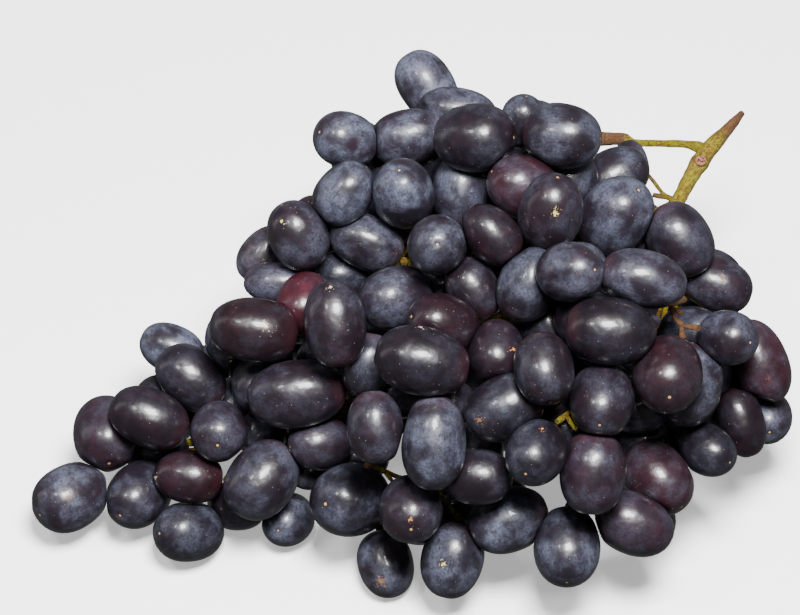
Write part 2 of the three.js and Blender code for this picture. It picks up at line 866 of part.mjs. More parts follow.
const visible = Object.entries(VISIBLE).flatMap(([cluster, readings]) =>
  readings.map((reading) => visibleGrape(reading, cluster)),
);
settleVisible(visible);
const framework = [MAIN_STEM, ...Object.values(SIDE_STEMS)].map(stemPlaces);
const bareStems = Object.values(BARE_STEMS).map(stemPlaces);
const frameworkPieces = framework.flatMap(stemPieces);
const stemsInTheWay = [...frameworkPieces, ...bareStems.flatMap(stemPieces)];
const grapes = [...visible, ...hiddenGrapes(visible, stemsInTheWay)];
assignClusters(grapes);

const table = new THREE.BoxGeometry(600, 600, 100);
table.translate(0, 0, -50);
const belowTable = solidOf(table);

const bunch = new THREE.Group();

// Each cluster of grapes is fused into one body and keeps a gap to the ones before it
const clusterOrder = ["red", ...Object.keys(VISIBLE).filter((cluster) => cluster !== "red")];
const builtWithGap = [];
for (const cluster of clusterOrder) {
  const members = grapes.filter((ball) => ball.cluster === cluster);
  const shapes = (margin) => [
    ...members.map((ball) => ballSolid(ball, margin)),
    ...necksOf(members, margin),
  ];
  let solid = shapes(0).reduce((sum, next) => sum.add(next));
  for (const other of builtWithGap) {
    solid = solid.subtract(other);
  }
  solid = solid.subtract(belowTable);
  const name = cluster === "red" ? "berry_red" : `berries_${cluster}`;
  bunch.add(...meshesOf(name, solid, cluster === "red" ? COLOURS.red : COLOURS.grape));
  builtWithGap.push(...shapes(NODE_GAP));
}

// The stem is one body: framework, twigs and pedicels, cut back where grapes press on it
const limbs = [
  ...framework.map((places) => rodSolid(places, STEM_SIDES)),
  ...bareStems.map((places) => rodSolid(places, TWIG_SIDES)),
];
for (const ball of visible) {
  const pedicel = pedicelOf(ball, grapes, frameworkPieces);
  if (pedicel) {
    const places = [
      { point: pedicel.root, radius: RECEPTACLE_RADIUS },
      { point: pedicel.foot, radius: PEDICEL_RADIUS },
    ];
    limbs.push(rodSolid(places, PEDICEL_SIDES));
  }
}
let stem = limbs.reduce((sum, next) => sum.add(next));
for (const other of builtWithGap) {
  stem = stem.subtract(other);
}
bunch.add(meshesOf("stem", stem, COLOURS.stem)[0]);

bunch.position.copy(FOOTPRINT_MIDDLE).negate();

export default bunch;
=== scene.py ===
"""A bunch of dark grapes lying on a pale table, its stem pointing up and to the right.

The bunch is laid out in millimetres, with every visible grape on the sight line on which it
was read off the picture, as the frame's solids are. Meshes are then made in metres.
"""

import logging
import math
import random
from collections.abc import Callable, Iterable, Iterator, Sequence
from dataclasses import dataclass
from enum import Enum
from functools import reduce
from itertools import pairwise, product
from typing import Any

import bpy
import numpy as np
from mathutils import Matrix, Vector


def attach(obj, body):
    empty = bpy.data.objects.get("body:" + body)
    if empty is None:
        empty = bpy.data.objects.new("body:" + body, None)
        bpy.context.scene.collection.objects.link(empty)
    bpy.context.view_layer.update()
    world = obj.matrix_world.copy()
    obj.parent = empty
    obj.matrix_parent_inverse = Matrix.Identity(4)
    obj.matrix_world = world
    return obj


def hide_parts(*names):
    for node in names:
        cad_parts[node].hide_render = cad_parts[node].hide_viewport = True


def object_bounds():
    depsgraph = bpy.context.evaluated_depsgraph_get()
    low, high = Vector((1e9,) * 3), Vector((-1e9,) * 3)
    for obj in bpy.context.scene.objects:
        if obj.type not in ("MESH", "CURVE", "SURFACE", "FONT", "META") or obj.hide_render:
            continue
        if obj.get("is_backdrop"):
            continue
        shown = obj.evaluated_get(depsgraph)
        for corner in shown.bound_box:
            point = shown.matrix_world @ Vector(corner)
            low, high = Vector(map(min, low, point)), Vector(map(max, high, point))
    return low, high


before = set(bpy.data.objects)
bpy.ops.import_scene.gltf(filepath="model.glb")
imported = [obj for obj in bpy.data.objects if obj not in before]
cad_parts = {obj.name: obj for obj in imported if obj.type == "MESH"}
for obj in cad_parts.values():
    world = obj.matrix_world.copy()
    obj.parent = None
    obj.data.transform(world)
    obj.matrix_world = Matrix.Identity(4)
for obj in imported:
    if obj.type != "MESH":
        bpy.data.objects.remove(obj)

LOG = logging.getLogger("grapes")

LinearColour = tuple[float, float, float, float]
StemPiece = tuple[np.ndarray, np.ndarray, float]  # its two ends and its radius

MM = 0.001
TINY = 1e-9  # stands in for a length of 0 in a division

# How the bunch is laid out, in millimetres
LEAST_ELONGATION = 1.22  # length over width of the roundest grapes
LAYER_STEP = 8  # how much deeper each layer of grapes lies
CONTACT = 0.93  # distance of touching grapes over the sum of their radii
FLOOR_SINK = 0.7  # depth of the flat that a grape's weight presses
HIDDEN_WIDTH = (17, 20)
HIDDEN_ELONGATION = (1.12, 1.28)  # length over width
HIDDEN_SPACING = 21  # of the grid from which hidden grapes start
HOLLOW_HEART = 0.5  # share of the main body round its stems that holds no grapes
FACET_SWELL = 1.06  # how far a faceted solid reaches past the round grape
NEAR = -0.1  # least overlap, as a share, of grapes that may belong to one cluster
PIECE_GAP = 0.3  # between grapes and stems
STEM_PRESS = 1  # how deep a hidden grape may lie in a stem
PEDICEL_RADIUS = 0.8
LONGEST_PEDICEL = 26
RED_CLUSTER = "red"  # the one unripe grape
FOOTPRINT_MIDDLE = np.array([4.25, -7.6, 0.0])  # lies at the frame's origin
NEARLY_UPRIGHT = 0.1  # sine of the angle to the upright
PATTERN_UNIT = 10  # the skin's pattern is measured in centimetres

# The bunch is a broad main body with a left shoulder and a low tip. Each is an ellipsoid
# through the centres of the outermost grapes, given by its centre and half sizes.
LOBES = (
    (np.array([34.0, -4.0, 40.0]), np.array([78.0, 80.0, 56.0])),
    (np.array([-22.0, -8.0, 28.0]), np.array([48.0, 50.0, 40.0])),
    (np.array([-62.0, -38.0, 12.0]), np.array([52.0, 26.0, 30.0])),
)
HEART = np.array([20.0, -5.0, 35.0])

# Pixels where the table shows between the grapes or just beside them
GAPS = (
    (405, 465),
    (555, 493),
    (607, 150),
    (303, 494),
    (381, 527),
    (500, 88),
    (205, 312),
    (700, 490),
    (312, 175),
)
GAP_RADIUS = 3

RIGHT = np.array([1.0, 0.0, 0.0])
UP = np.array([0.0, 0.0, 1.0])


class Skin(Enum):
    """Ripeness of a grape's skin, as its linear colour."""

    INDIGO = (0.0045, 0.0026, 0.0044)
    MAROON = (0.0100, 0.0026, 0.0044)
    PLUM = (0.0086, 0.0037, 0.0063)
    RED = (0.0240, 0.0036, 0.0068)
    AUBERGINE = (0.0068, 0.0023, 0.0037)
    BROWN = (0.0115, 0.0052, 0.0043)


class Bloom(Enum):
    """How much wax bloom is left on a grape."""

    RUBBED = 0.1
    THIN = 0.24
    USUAL = 0.46
    THICK = 0.8


class MarkKind(Enum):
    """A mark on a skin, as its linear colour."""

    PALE_SCAR = (0.42, 0.33, 0.24)
    YELLOW_SPOT = (0.50, 0.42, 0.12)
    BROWN_SCAR = (0.17, 0.075, 0.03)
    CORK = (0.20, 0.10, 0.045)
    ORANGE_DASH = (0.42, 0.17, 0.05)
    RED_MARK = (0.07, 0.012, 0.012)


@dataclass(frozen=True)
class Reading:
    """One grape read off the picture.

    The centre is in pixels and the length and width in millimetres. The turn of the long
    axis is in degrees from +X, and the layer counts the grapes that lie in front of it.
    """

    px: float
    py: float
    length: float
    width: float
    turn: float
    layer: int
    skin: Skin = Skin.INDIGO
    bloom: Bloom = Bloom.USUAL


@dataclass(frozen=True)
class Mark:
    """A mark on the grape that shows at a pixel, with its radius in millimetres."""

    px: float
    py: float
    radius: float
    kind: MarkKind


# The visible grapes by cluster
VISIBLE = {
    "crown": (
        Reading(427, 86, 23.4, 17.1, 122, 3, bloom=Bloom.THICK),
        Reading(458, 113, 24.4, 15.9, 168, 2, bloom=Bloom.THICK),
        Reading(474, 138, 24.4, 20.4, 0, 0, bloom=Bloom.THIN),
        Reading(408, 137, 22.6, 17.1, 12, 1, bloom=Bloom.THICK),
        Reading(346, 140, 19.5, 17.1, 165, -2, bloom=Bloom.THICK),
        Reading(345, 193, 20.7, 17.1, 50, 1, bloom=Bloom.THICK),
        Reading(403, 193, 20.4, 18.9, 100, 0, bloom=Bloom.THICK),
        Reading(461, 190, 22.6, 17.1, 85, 2, bloom=Bloom.THICK),
        Reading(491, 234, 19.5, 15.2, 135, 1, bloom=Bloom.RUBBED),
        Reading(437, 245, 17.7, 17.7, 0, 0),
        Reading(366, 242, 23.2, 16.5, 155, 3),
        Reading(430, 166, 17.5, 15, 90, 4),
    ),
    "shoulder": (
        Reading(524, 187, 22.6, 18.9, 155, 1, Skin.MAROON, Bloom.THIN),
        Reading(551, 211, 22, 18.9, 80, 0, bloom=Bloom.THIN),
        Reading(562, 136, 23.5, 19.5, 175, 0),
        Reading(522, 120, 15.2, 12.8, 80, 2),
        Reading(613, 178, 22.6, 17.7, 30, 3),
        Reading(616, 216, 24.1, 21.3, 50, 2, bloom=Bloom.THICK),
        Reading(631, 165, 15.2, 11, 100, 4),
    ),
    "right": (
        Reading(680, 240, 23.2, 18.9, 125, 2, bloom=Bloom.THIN),
        Reading(643, 279, 25, 17.1, 168, 1),
        Reading(611, 331, 26.2, 19.8, 175, 0, bloom=Bloom.RUBBED),
        Reading(588, 318, 19.5, 17.1, 0, 2),
        Reading(667, 374, 22, 20.7, 90, 0, Skin.AUBERGINE, Bloom.RUBBED),
        Reading(688, 384, 25, 20.1, 80, 1),
        Reading(728, 337, 17.4, 15.9, 165, 0),
        Reading(758, 362, 26.2, 17.7, 112, 1, Skin.MAROON, Bloom.THIN),
        Reading(716, 284, 22, 16.2, 160, 3),
        Reading(715, 274, 16.5, 14.6, 150, 4, bloom=Bloom.THIN),
        Reading(690, 333, 18.3, 15.9, 0, 2),
        Reading(741, 421, 22, 14, 108, 0, bloom=Bloom.RUBBED),
        Reading(767, 418, 15.9, 15.2, 90, 2, bloom=Bloom.THICK),
        Reading(708, 450, 17.1, 15.2, 150, 1, bloom=Bloom.THIN),
        Reading(708, 378, 17.1, 13.4, 60, 3),
    ),
    "middle": (
        Reading(571, 272, 18.9, 17.4, 5, 0),
        Reading(529, 285, 22.6, 18.3, 60, 1),
        Reading(395, 298, 22, 18.9, 15, 2),
        Reading(473, 289, 18.9, 15.2, 120, 2, bloom=Bloom.THIN),
        Reading(443, 325, 21.3, 18.3, 165, 1, Skin.AUBERGINE, Bloom.RUBBED),
        Reading(422, 361, 27.4, 20.1, 168, 0, bloom=Bloom.RUBBED),
        Reading(496, 352, 18.9, 16.5, 90, 1, bloom=Bloom.RUBBED),
        Reading(544, 369, 20.7, 17.4, 100, 0, bloom=Bloom.THIN),
        Reading(504, 408, 23.8, 18.9, 25, 1, bloom=Bloom.THIN),
        Reading(450, 402, 15.2, 13.4, 0, 2, bloom=Bloom.THIN),
        Reading(367, 365, 18.9, 15.2, 80, 2),
        Reading(545, 325, 18.3, 17.1, 0, 3, bloom=Bloom.THIN),
        Reading(446, 281, 16.5, 14.6, 0, 4),
        Reading(498, 267, 16.5, 14.6, 0, 4, bloom=Bloom.RUBBED),
        Reading(398, 394, 16.5, 15, 0, 4),
    ),
    "left": (
        Reading(298, 235, 21.3, 17.7, 118, 0),
        Reading(313, 221, 15.2, 14, 90, 3),
        Reading(264, 254, 18.9, 14, 50, 3, Skin.BROWN, Bloom.THICK),
        Reading(278, 283, 20.7, 13.4, 175, 2),
        Reading(254, 330, 26.2, 19.2, 172, 0, Skin.AUBERGINE, Bloom.RUBBED),
        Reading(232, 340, 18.3, 16.8, 90, 2),
        Reading(335, 324, 25.6, 18.3, 95, 0, bloom=Bloom.THIN),
        Reading(297, 394, 29.3, 20.1, 8, 0, bloom=Bloom.THIN),
        Reading(256, 384, 17.1, 14.6, 90, 2),
        Reading(345, 275, 18.3, 15.9, 0, 4, bloom=Bloom.THIN),
    ),
    RED_CLUSTER: (
        Reading(304, 303, 18.9, 16.5, 70, 1, Skin.RED, Bloom.RUBBED),
    ),
    "low": (
        Reading(602, 401, 20.7, 19.2, 80, 0, bloom=Bloom.THIN),
        Reading(637, 408, 18.3, 15.2, 0, 2),
        Reading(657, 478, 23.2, 19.5, 130, 2, Skin.MAROON, Bloom.THIN),
        Reading(593, 473, 23.8, 19.2, 87, 0, Skin.PLUM, Bloom.THIN),
        Reading(634, 524, 23.8, 18.3, 155, 1, Skin.PLUM, Bloom.THIN),
        Reading(567, 547, 22.9, 19.8, 88, 0, bloom=Bloom.THICK),
        Reading(509, 520, 23.8, 18.9, 20, 1, bloom=Bloom.THICK),
        Reading(536, 453, 18.9, 17.4, 60, 0, bloom=Bloom.THIN),
        Reading(478, 477, 20.1, 16.5, 0, 1, bloom=Bloom.THIN),
        Reading(676, 440, 18.9, 17.1, 0, 3),
        Reading(640, 440, 17.7, 15.9, 0, 3),
        Reading(562, 425, 19.5, 17.4, 0, 4, bloom=Bloom.THIN),
    ),
    "front": (
        Reading(434, 443, 27.4, 18.9, 90, 0, bloom=Bloom.THICK),
        Reading(375, 427, 20.7, 16.5, 95, 0, bloom=Bloom.THIN),
        Reading(320, 444, 18.9, 15.9, 5, 2, bloom=Bloom.THIN),
        Reading(312, 468, 15.2, 13.4, 0, 3),
        Reading(262, 480, 25, 20.7, 55, 0),
        Reading(350, 500, 23.5, 22, 5, 1),
        Reading(411, 510, 19.5, 18.6, 90, 0),
        Reading(455, 510, 18.3, 15.2, 0, 3),
        Reading(419, 522, 15.2, 14, 0, 2),
        Reading(386, 564, 20.1, 16.8, 105, 1, bloom=Bloom.THICK),
        Reading(452, 560, 22.6, 18.3, 78, 0, bloom=Bloom.THICK),
        Reading(288, 520, 16.2, 15.6, 45, 1, bloom=Bloom.THICK),
        Reading(361, 458, 16.5, 15, 0, 3),
    ),
    "tip": (
        Reading(238, 505, 18.3, 15.2, 0, 2),
        Reading(189, 532, 20.7, 18.3, 0, 0),
        Reading(188, 477, 20.7, 15.9, 175, 1, Skin.MAROON, Bloom.RUBBED),
        Reading(138, 495, 20.7, 18.9, 50, 2),
        Reading(71, 497, 23.2, 20.1, 30, 0, bloom=Bloom.THICK),
        Reading(106, 433, 22.6, 20.1, 100, 2, Skin.PLUM, Bloom.THIN),
        Reading(158, 452, 18.9, 16.5, 0, 3),
    ),
    "wing": (
        Reading(149, 418, 24.4, 17.7, 155, 0, bloom=Bloom.RUBBED),
        Reading(163, 398, 16.5, 14.6, 0, 2),
        Reading(191, 378, 23.2, 17.7, 138, 1, bloom=Bloom.THIN),
        Reading(172, 349, 20.1, 15.2, 155, 2, bloom=Bloom.THICK),
        Reading(219, 431, 17.7, 17.1, 90, 0, bloom=Bloom.THIN),
        Reading(262, 432, 15.2, 13.4, 0, 3),
    ),
}

# Stems from pixel to pixel: each place is its pixel, height over the table, radius and how
# far it has dried from green to brown wood. The main stem starts at its dried cut end.
FRAMEWORK = {
    "main": (
        (742, 113, 64, 1.0, 1.0), (735, 121, 64, 1.3, 1.0),
        (727, 130, 63.5, 1.8, 0.7), (712, 146, 62, 2.6, 0.2),
        (700, 162, 60.5, 2.6, 0.22), (688, 182, 58, 2.3, 0.2),
        (677, 202, 56, 2.1, 0.22), (640, 233, 50, 2.0, 0.25),
        (600, 260, 46, 2.0, 0.25), (480, 330, 42, 1.8, 0.3),
        (400, 378, 36, 1.7, 0.3), (300, 435, 26, 1.5, 0.35),
    ),
    "shoulder": (
        (709, 152, 61.5, 1.9, 0.15), (698, 147, 60.5, 1.8, 0.12),
        (690, 145, 60, 1.3, 0.1), (660, 143.5, 58, 1.1, 0.12),
        (632, 142, 55, 1.1, 0.15), (626, 140, 54, 2.0, 0.9),
        (602, 139, 50, 2.1, 0.95), (575, 138, 46, 1.9, 0.8),
        (520, 128, 42, 1.6, 0.5), (430, 125, 36, 1.2, 0.4),
    ),
    "crown": (
        (600, 260, 46, 1.8, 0.3), (500, 200, 50, 1.5, 0.3),
        (420, 180, 46, 1.2, 0.3),
    ),
    "left": (
        (480, 330, 42, 1.8, 0.3), (380, 290, 42, 1.5, 0.3),
        (310, 275, 34, 1.2, 0.3),
    ),
    "right": (
        (640, 233, 50, 1.8, 0.3), (670, 290, 48, 1.5, 0.3),
        (690, 350, 40, 1.2, 0.3),
    ),
    "low": (
        (480, 330, 42, 1.8, 0.3), (560, 400, 44, 1.5, 0.3),
        (610, 450, 36, 1.2, 0.3),
    ),
    "front": (
        (400, 378, 36, 1.7, 0.3), (440, 430, 34, 1.4, 0.3),
        (430, 480, 28, 1.1, 0.3),
    ),
    "tip": (
        (300, 435, 26, 1.5, 0.3), (262, 452, 14, 1.4, 0.3),
        (225, 440, 13, 1.3, 0.3), (140, 455, 12, 1.1, 0.3),
    ),
}

# Bare twigs and pedicels, which have lost their grapes
BARE_STEMS = {
    "twig_root": (
        (676, 295, 48, 1.1, 0.5), (684, 300, 60, 0.9, 0.7),
        (677, 303, 70, 0.8, 0.75), (671, 305, 74, 0.7, 0.75),
    ),
    "twig": (
        (671, 305, 74, 0.7, 0.75), (675, 318, 76, 0.7, 0.75),
        (683, 326, 77, 1.0, 0.8),
    ),
    "twig_stub": (
        (671, 307, 74, 0.6, 0.75), (682, 314, 76, 0.9, 0.85),
    ),
    "twig_arm": (
        (683, 326, 77, 0.8, 0.75), (692, 327, 77.5, 0.7, 0.7),
        (699, 328, 78.5, 1.4, 1.05),
    ),
    "twig_foot": (
        (683, 326, 77, 0.8, 0.75), (682, 333, 75, 0.8, 0.75),
        (684, 339, 74, 1.3, 0.85),
    ),
    "front_pedicel": (
        (430, 480, 28, 0.9, 0.5), (402, 478, 32, 0.7, 0.6),
        (384, 471, 37, 0.8, 0.15), (379, 469, 39, 0.6, 0.12),
        (373, 466, 40.5, 0.8, 0.15), (367, 464, 42, 1.8, 1.12),
    ),
    "front_arm": (
        (384, 471, 37, 0.7, 0.15), (393, 482, 34, 0.6, 0.2),
    ),
    "low_fork_left": (
        (560, 400, 44, 0.9, 0.3), (566, 415, 68, 0.8, 0.35),
        (557, 422, 68.5, 1.2, 0.45),
    ),
    "low_fork_right": (
        (566, 415, 68, 0.8, 0.35), (577, 430, 67, 1.0, 0.4),
    ),
    "neck_thin": (
        (677, 200, 56.2, 0.7, 0.3), (665, 195, 57, 0.6, 0.5),
        (654, 182, 58, 0.6, 0.6), (646, 172, 58, 0.6, 0.6),
    ),
    "neck_stub": (
        (677, 201, 56, 0.8, 0.3), (668, 198, 57, 0.6, 0.5),
        (653, 195, 58, 1.0, 0.8),
    ),
    "neck_lateral": (
        (675, 204, 55.5, 1.1, 0.3), (655, 211, 53, 0.9, 0.4),
        (640, 220, 52, 0.8, 0.4),
    ),
}

MARKS = (
    Mark(461, 106, 1.0, MarkKind.PALE_SCAR),
    Mark(555, 213, 1.1, MarkKind.YELLOW_SPOT),
    Mark(282, 222, 0.9, MarkKind.YELLOW_SPOT),
    Mark(265, 326, 1.4, MarkKind.PALE_SCAR),
    Mark(331, 289, 1.0, MarkKind.PALE_SCAR),
    Mark(421, 327, 1.1, MarkKind.PALE_SCAR),
    Mark(480, 420, 1.2, MarkKind.BROWN_SCAR),
    Mark(381, 581, 1.6, MarkKind.CORK),
    Mark(513, 350, 0.9, MarkKind.ORANGE_DASH),
    Mark(542, 429, 0.8, MarkKind.ORANGE_DASH),
    Mark(156, 478, 1.1, MarkKind.PALE_SCAR),
    Mark(410, 519, 0.8, MarkKind.ORANGE_DASH),
    Mark(443, 564, 0.9, MarkKind.YELLOW_SPOT),
    Mark(769, 378, 0.9, MarkKind.RED_MARK),
    Mark(68, 497, 1.3, MarkKind.CORK),
    Mark(722, 278, 0.9, MarkKind.BROWN_SCAR),
)


@dataclass(frozen=True)
class Picture:
    """How the picture looks at the bunch, with lengths in millimetres."""

    width_pixels: int = 800
    centre_x: float = 400
    centre_y: float = 307.5
    mm_per_pixel: float = 0.305
    elevation: float = math.radians(50)
    distance: float = 1200
    target: tuple[float, float, float] = (0, 0, 40)

    @property
    def away(self) -> np.ndarray:
        """The direction in which the camera looks."""
        return np.array([0, math.cos(self.elevation), -math.sin(self.elevation)])

    @property
    def upward(self) -> np.ndarray:
        """The direction that points up in the picture."""
        return np.array([0, math.sin(self.elevation), math.cos(self.elevation)])

    def sight_line(self, px: float, py: float) -> tuple[np.ndarray, np.ndarray]:
        """Find the sight line through a pixel.

        Args:
            px: The pixel from the left.
            py: The pixel from the top.

        Returns:
            The line's point at the target's distance, and its direction.
        """
        offset = RIGHT * (px - self.centre_x) * self.mm_per_pixel
        offset = offset + self.upward * (self.centre_y - py) * self.mm_per_pixel
        return offset + np.array(self.target), self.away + offset / self.distance

    def pictured(self, px: float, py: float, height: float) -> np.ndarray:
        """Find the point of a pixel's sight line at a height over the table."""
        start, along = self.sight_line(px, py)
        return start + along * (height - start[2]) / along[2]

    def seen(self, points: np.ndarray) -> np.ndarray:
        """Find where points show in the picture.

        Args:
            points: The points, one a row.

        Returns:
            For each point its offset to the right and up from the picture's centre, in
            millimetres at the target's distance, and its depth.
        """
        offset = points - np.array(self.target)
        depth = offset @ self.away
        shrink = 1 + depth / self.distance
        return np.stack([offset @ RIGHT / shrink, offset @ self.upward / shrink, depth], -1)

    def first_hit(self, start: np.ndarray, along: np.ndarray) -> float:
        """Find the depth at which a sight line meets the lobes, or passes closest to one.

        Args:
            start: The line's point at the target's distance.
            along: The line's direction.

        Returns:
            The depth.
        """
        nearest = math.inf
        passing = 0.0
        least_miss = math.inf
        for centre, half in LOBES:
            from_centre = (start - centre) / half
            way = along / half
            square = way @ way
            slope = from_centre @ way
            inside = slope * slope - square * (from_centre @ from_centre - 1)
            if inside >= 0:
                nearest = min(nearest, (-slope - math.sqrt(inside)) / square)
            elif -inside < least_miss * square:
                least_miss = -inside / square
                passing = -slope / square
        return nearest if nearest < math.inf else passing


PICTURE = Picture()


@dataclass
class Grape:
    """One grape of the bunch, in millimetres."""

    centre: np.ndarray
    axis: np.ndarray
    half_length: float
    half_width: float
    cluster: str = ""
    reading: Reading | None = None
    start: np.ndarray | None = None
    along: np.ndarray | None = None
    depth: float = 0

    @classmethod
    def from_reading(cls, reading: Reading, cluster: str) -> "Grape":
        """Place a visible grape at the depth of the lobes.

        An outline rounder than a grape's own means that it leans towards the viewer.

        Args:
            reading: What the picture shows.
            cluster: The name of its cluster.

        Returns:
            The grape.
        """
        start, along = PICTURE.sight_line(reading.px, reading.py)
        outline = reading.length / reading.width
        elongation = max(outline, LEAST_ELONGATION)
        flat_share = math.sqrt((outline**2 - 1) / (elongation**2 - 1))
        turn = math.radians(reading.turn)
        depth = PICTURE.first_hit(start, along) + reading.layer * LAYER_STEP
        axis = RIGHT * math.cos(turn) + PICTURE.upward * math.sin(turn)
        if axis @ (start + along * depth - HEART) < 0:
            axis = -axis
        axis = axis * flat_share - PICTURE.away * math.sqrt(1 - flat_share**2)
        half_width = reading.width / 2
        centre = start + along * depth
        half_length = half_width * elongation
        return cls(centre, axis, half_length, half_width, cluster, reading, start, along, depth)

    def entered(self, start: np.ndarray, along: np.ndarray) -> float:
        """Find how far along a line it enters the grape.

        Args:
            start: The line's start.
            along: Its direction.

        Returns:
            The share of the direction, or infinity where the line misses the grape.
        """
        from_centre = self._as_ball(start - self.centre)
        way = self._as_ball(along)
        slope = from_centre @ way
        inside = slope**2 - way @ way * (from_centre @ from_centre - 1)
        return -(slope + math.sqrt(inside)) / (way @ way) if inside > 0 else math.inf

    def _as_ball(self, way: np.ndarray) -> np.ndarray:
        """Stretch a direction as if the grape were a ball of radius one."""
        lengthwise = self.axis * (way @ self.axis)
        return (way - lengthwise) / self.half_width + lengthwise / self.half_length


@dataclass
class Shapes:
    """The places and sizes of many grapes, as arrays with one row a grape."""

    centre: np.ndarray
    axis: np.ndarray
    half_length: np.ndarray
    half_width: np.ndarray

    @classmethod
    def of(cls, grapes: Sequence[Grape]) -> "Shapes":
        """Gather the shapes of some grapes, in the same order."""
        return cls(
            np.array([grape.centre for grape in grapes]).reshape(-1, 3),
            np.array([grape.axis for grape in grapes]).reshape(-1, 3),
            np.array([grape.half_length for grape in grapes]),
            np.array([grape.half_width for grape in grapes]),
        )

    def followed_by(self, others: "Shapes") -> "Shapes":
        """Put the shapes of other grapes behind these."""
        mine = vars(self)
        return Shapes(**{name: np.concatenate([mine[name], vars(others)[name]]) for name in mine})

    def half_height(self) -> np.ndarray:
        """Half the height of each grape."""
        spare = self.half_length**2 - self.half_width**2
        return np.sqrt(self.half_width**2 + spare * self.axis[:, 2] ** 2)

    def reach(self, direction: np.ndarray) -> np.ndarray:
        """Find each grape's radius towards a direction.

        Args:
            direction: Unit directions, with the grapes along the first dimension.

        Returns:
            The radii, with the directions' leading dimensions.
        """
        spread = (-1,) + (1,) * (direction.ndim - 2)  # as many dimensions as the directions
        axis = self.axis.reshape(spread + (3,))
        across = (1 / self.half_width**2).reshape(spread)
        lengthwise = (1 / self.half_length**2).reshape(spread)
        along = np.sum(axis * direction, axis=-1)
        return 1 / np.sqrt(across + along**2 * (lengthwise - across))


def apart(first: Shapes, second: Shapes) -> tuple[np.ndarray, np.ndarray, np.ndarray]:
    """Measure every pair of grapes from two groups.

    Args:
        first: One group.
        second: The other group.

    Returns:
        For each pair the distance of the centres, the unit direction from the first grape
        to the second, and the sum of the two radii along it.
    """
    way = second.centre[None] - first.centre[:, None]
    distance = np.linalg.norm(way, axis=-1)
    distance[distance == 0] = TINY
    direction = way / distance[..., None]
    radii = first.reach(direction) + second.reach(np.swapaxes(direction, 0, 1)).T
    return distance, direction, radii


@dataclass
class StemLine:
    """A line of places through which a stem runs, in millimetres."""

    points: np.ndarray
    radii: np.ndarray
    ages: np.ndarray

    @classmethod
    def read(cls, places: Sequence[tuple[float, ...]]) -> "StemLine":
        """Place a stem that was read off the picture.

        Args:
            places: For each place its pixel, height, radius and age.

        Returns:
            The stem's line.
        """
        points = np.array([PICTURE.pictured(*place[:3]) for place in places])
        radii = np.array([place[3] for place in places])
        return cls(points, radii, np.array([place[4] for place in places]))

    def pieces(self) -> Iterator[StemPiece]:
        """Go through the straight pieces, each with its larger radius."""
        for (start, end), radii in zip(pairwise(self.points), pairwise(self.radii)):
            yield start, end, max(radii)


def straight_pieces(lines: Iterable[StemLine]) -> list[StemPiece]:
    """List the straight pieces of some stems."""
    return [piece for line in lines for piece in line.pieces()]


def stem_overlaps(shapes: Shapes, pieces: Sequence[StemPiece]) -> tuple[np.ndarray, np.ndarray]:
    """Measure how deep grapes lie in pieces of stem.

    Args:
        shapes: The grapes.
        pieces: The pieces of stem.

    Returns:
        For each grape and piece the way out and the depth.
    """
    start = np.array([piece[0] for piece in pieces])
    span = np.array([piece[1] for piece in pieces]) - start
    radius = np.array([piece[2] for piece in pieces])
    offset = shapes.centre[:, None] - start[None]
    share = np.sum(offset * span, axis=-1) / np.sum(span * span, axis=-1)
    way = offset - np.clip(share, 0, 1)[..., None] * span
    distance = np.linalg.norm(way, axis=-1)
    way = way / distance[..., None]
    return way, shapes.reach(way) * FACET_SWELL + radius + PIECE_GAP - distance


class Draws:
    """Seeded draws between 0 and 1, the same ones as the frame's solids use."""

    WORD = 2**32
    STRIDE = 0x6D2B79F5

    def __init__(self, seed: int) -> None:
        """Start at a seed."""
        self.state = seed

    def __call__(self) -> float:
        """Make the next draw by mixing the bits of the next state."""
        self.state = (self.state + self.STRIDE) % self.WORD
        mixed = (self.state ^ (self.state >> 15)) * (self.state | 1) % self.WORD
        turned = (mixed ^ (mixed >> 7)) * (mixed | 61) % self.WORD
        mixed ^= (mixed + turned) % self.WORD
        return (mixed ^ (mixed >> 14)) / self.WORD

    def between(self, low: float, high: float) -> float:
        """Draw a number between two others."""
        return low + (high - low) * self()

    def scattered(self, width: float) -> float:
        """Draw a number from a width about 0."""
        return width * (self() - 0.5)


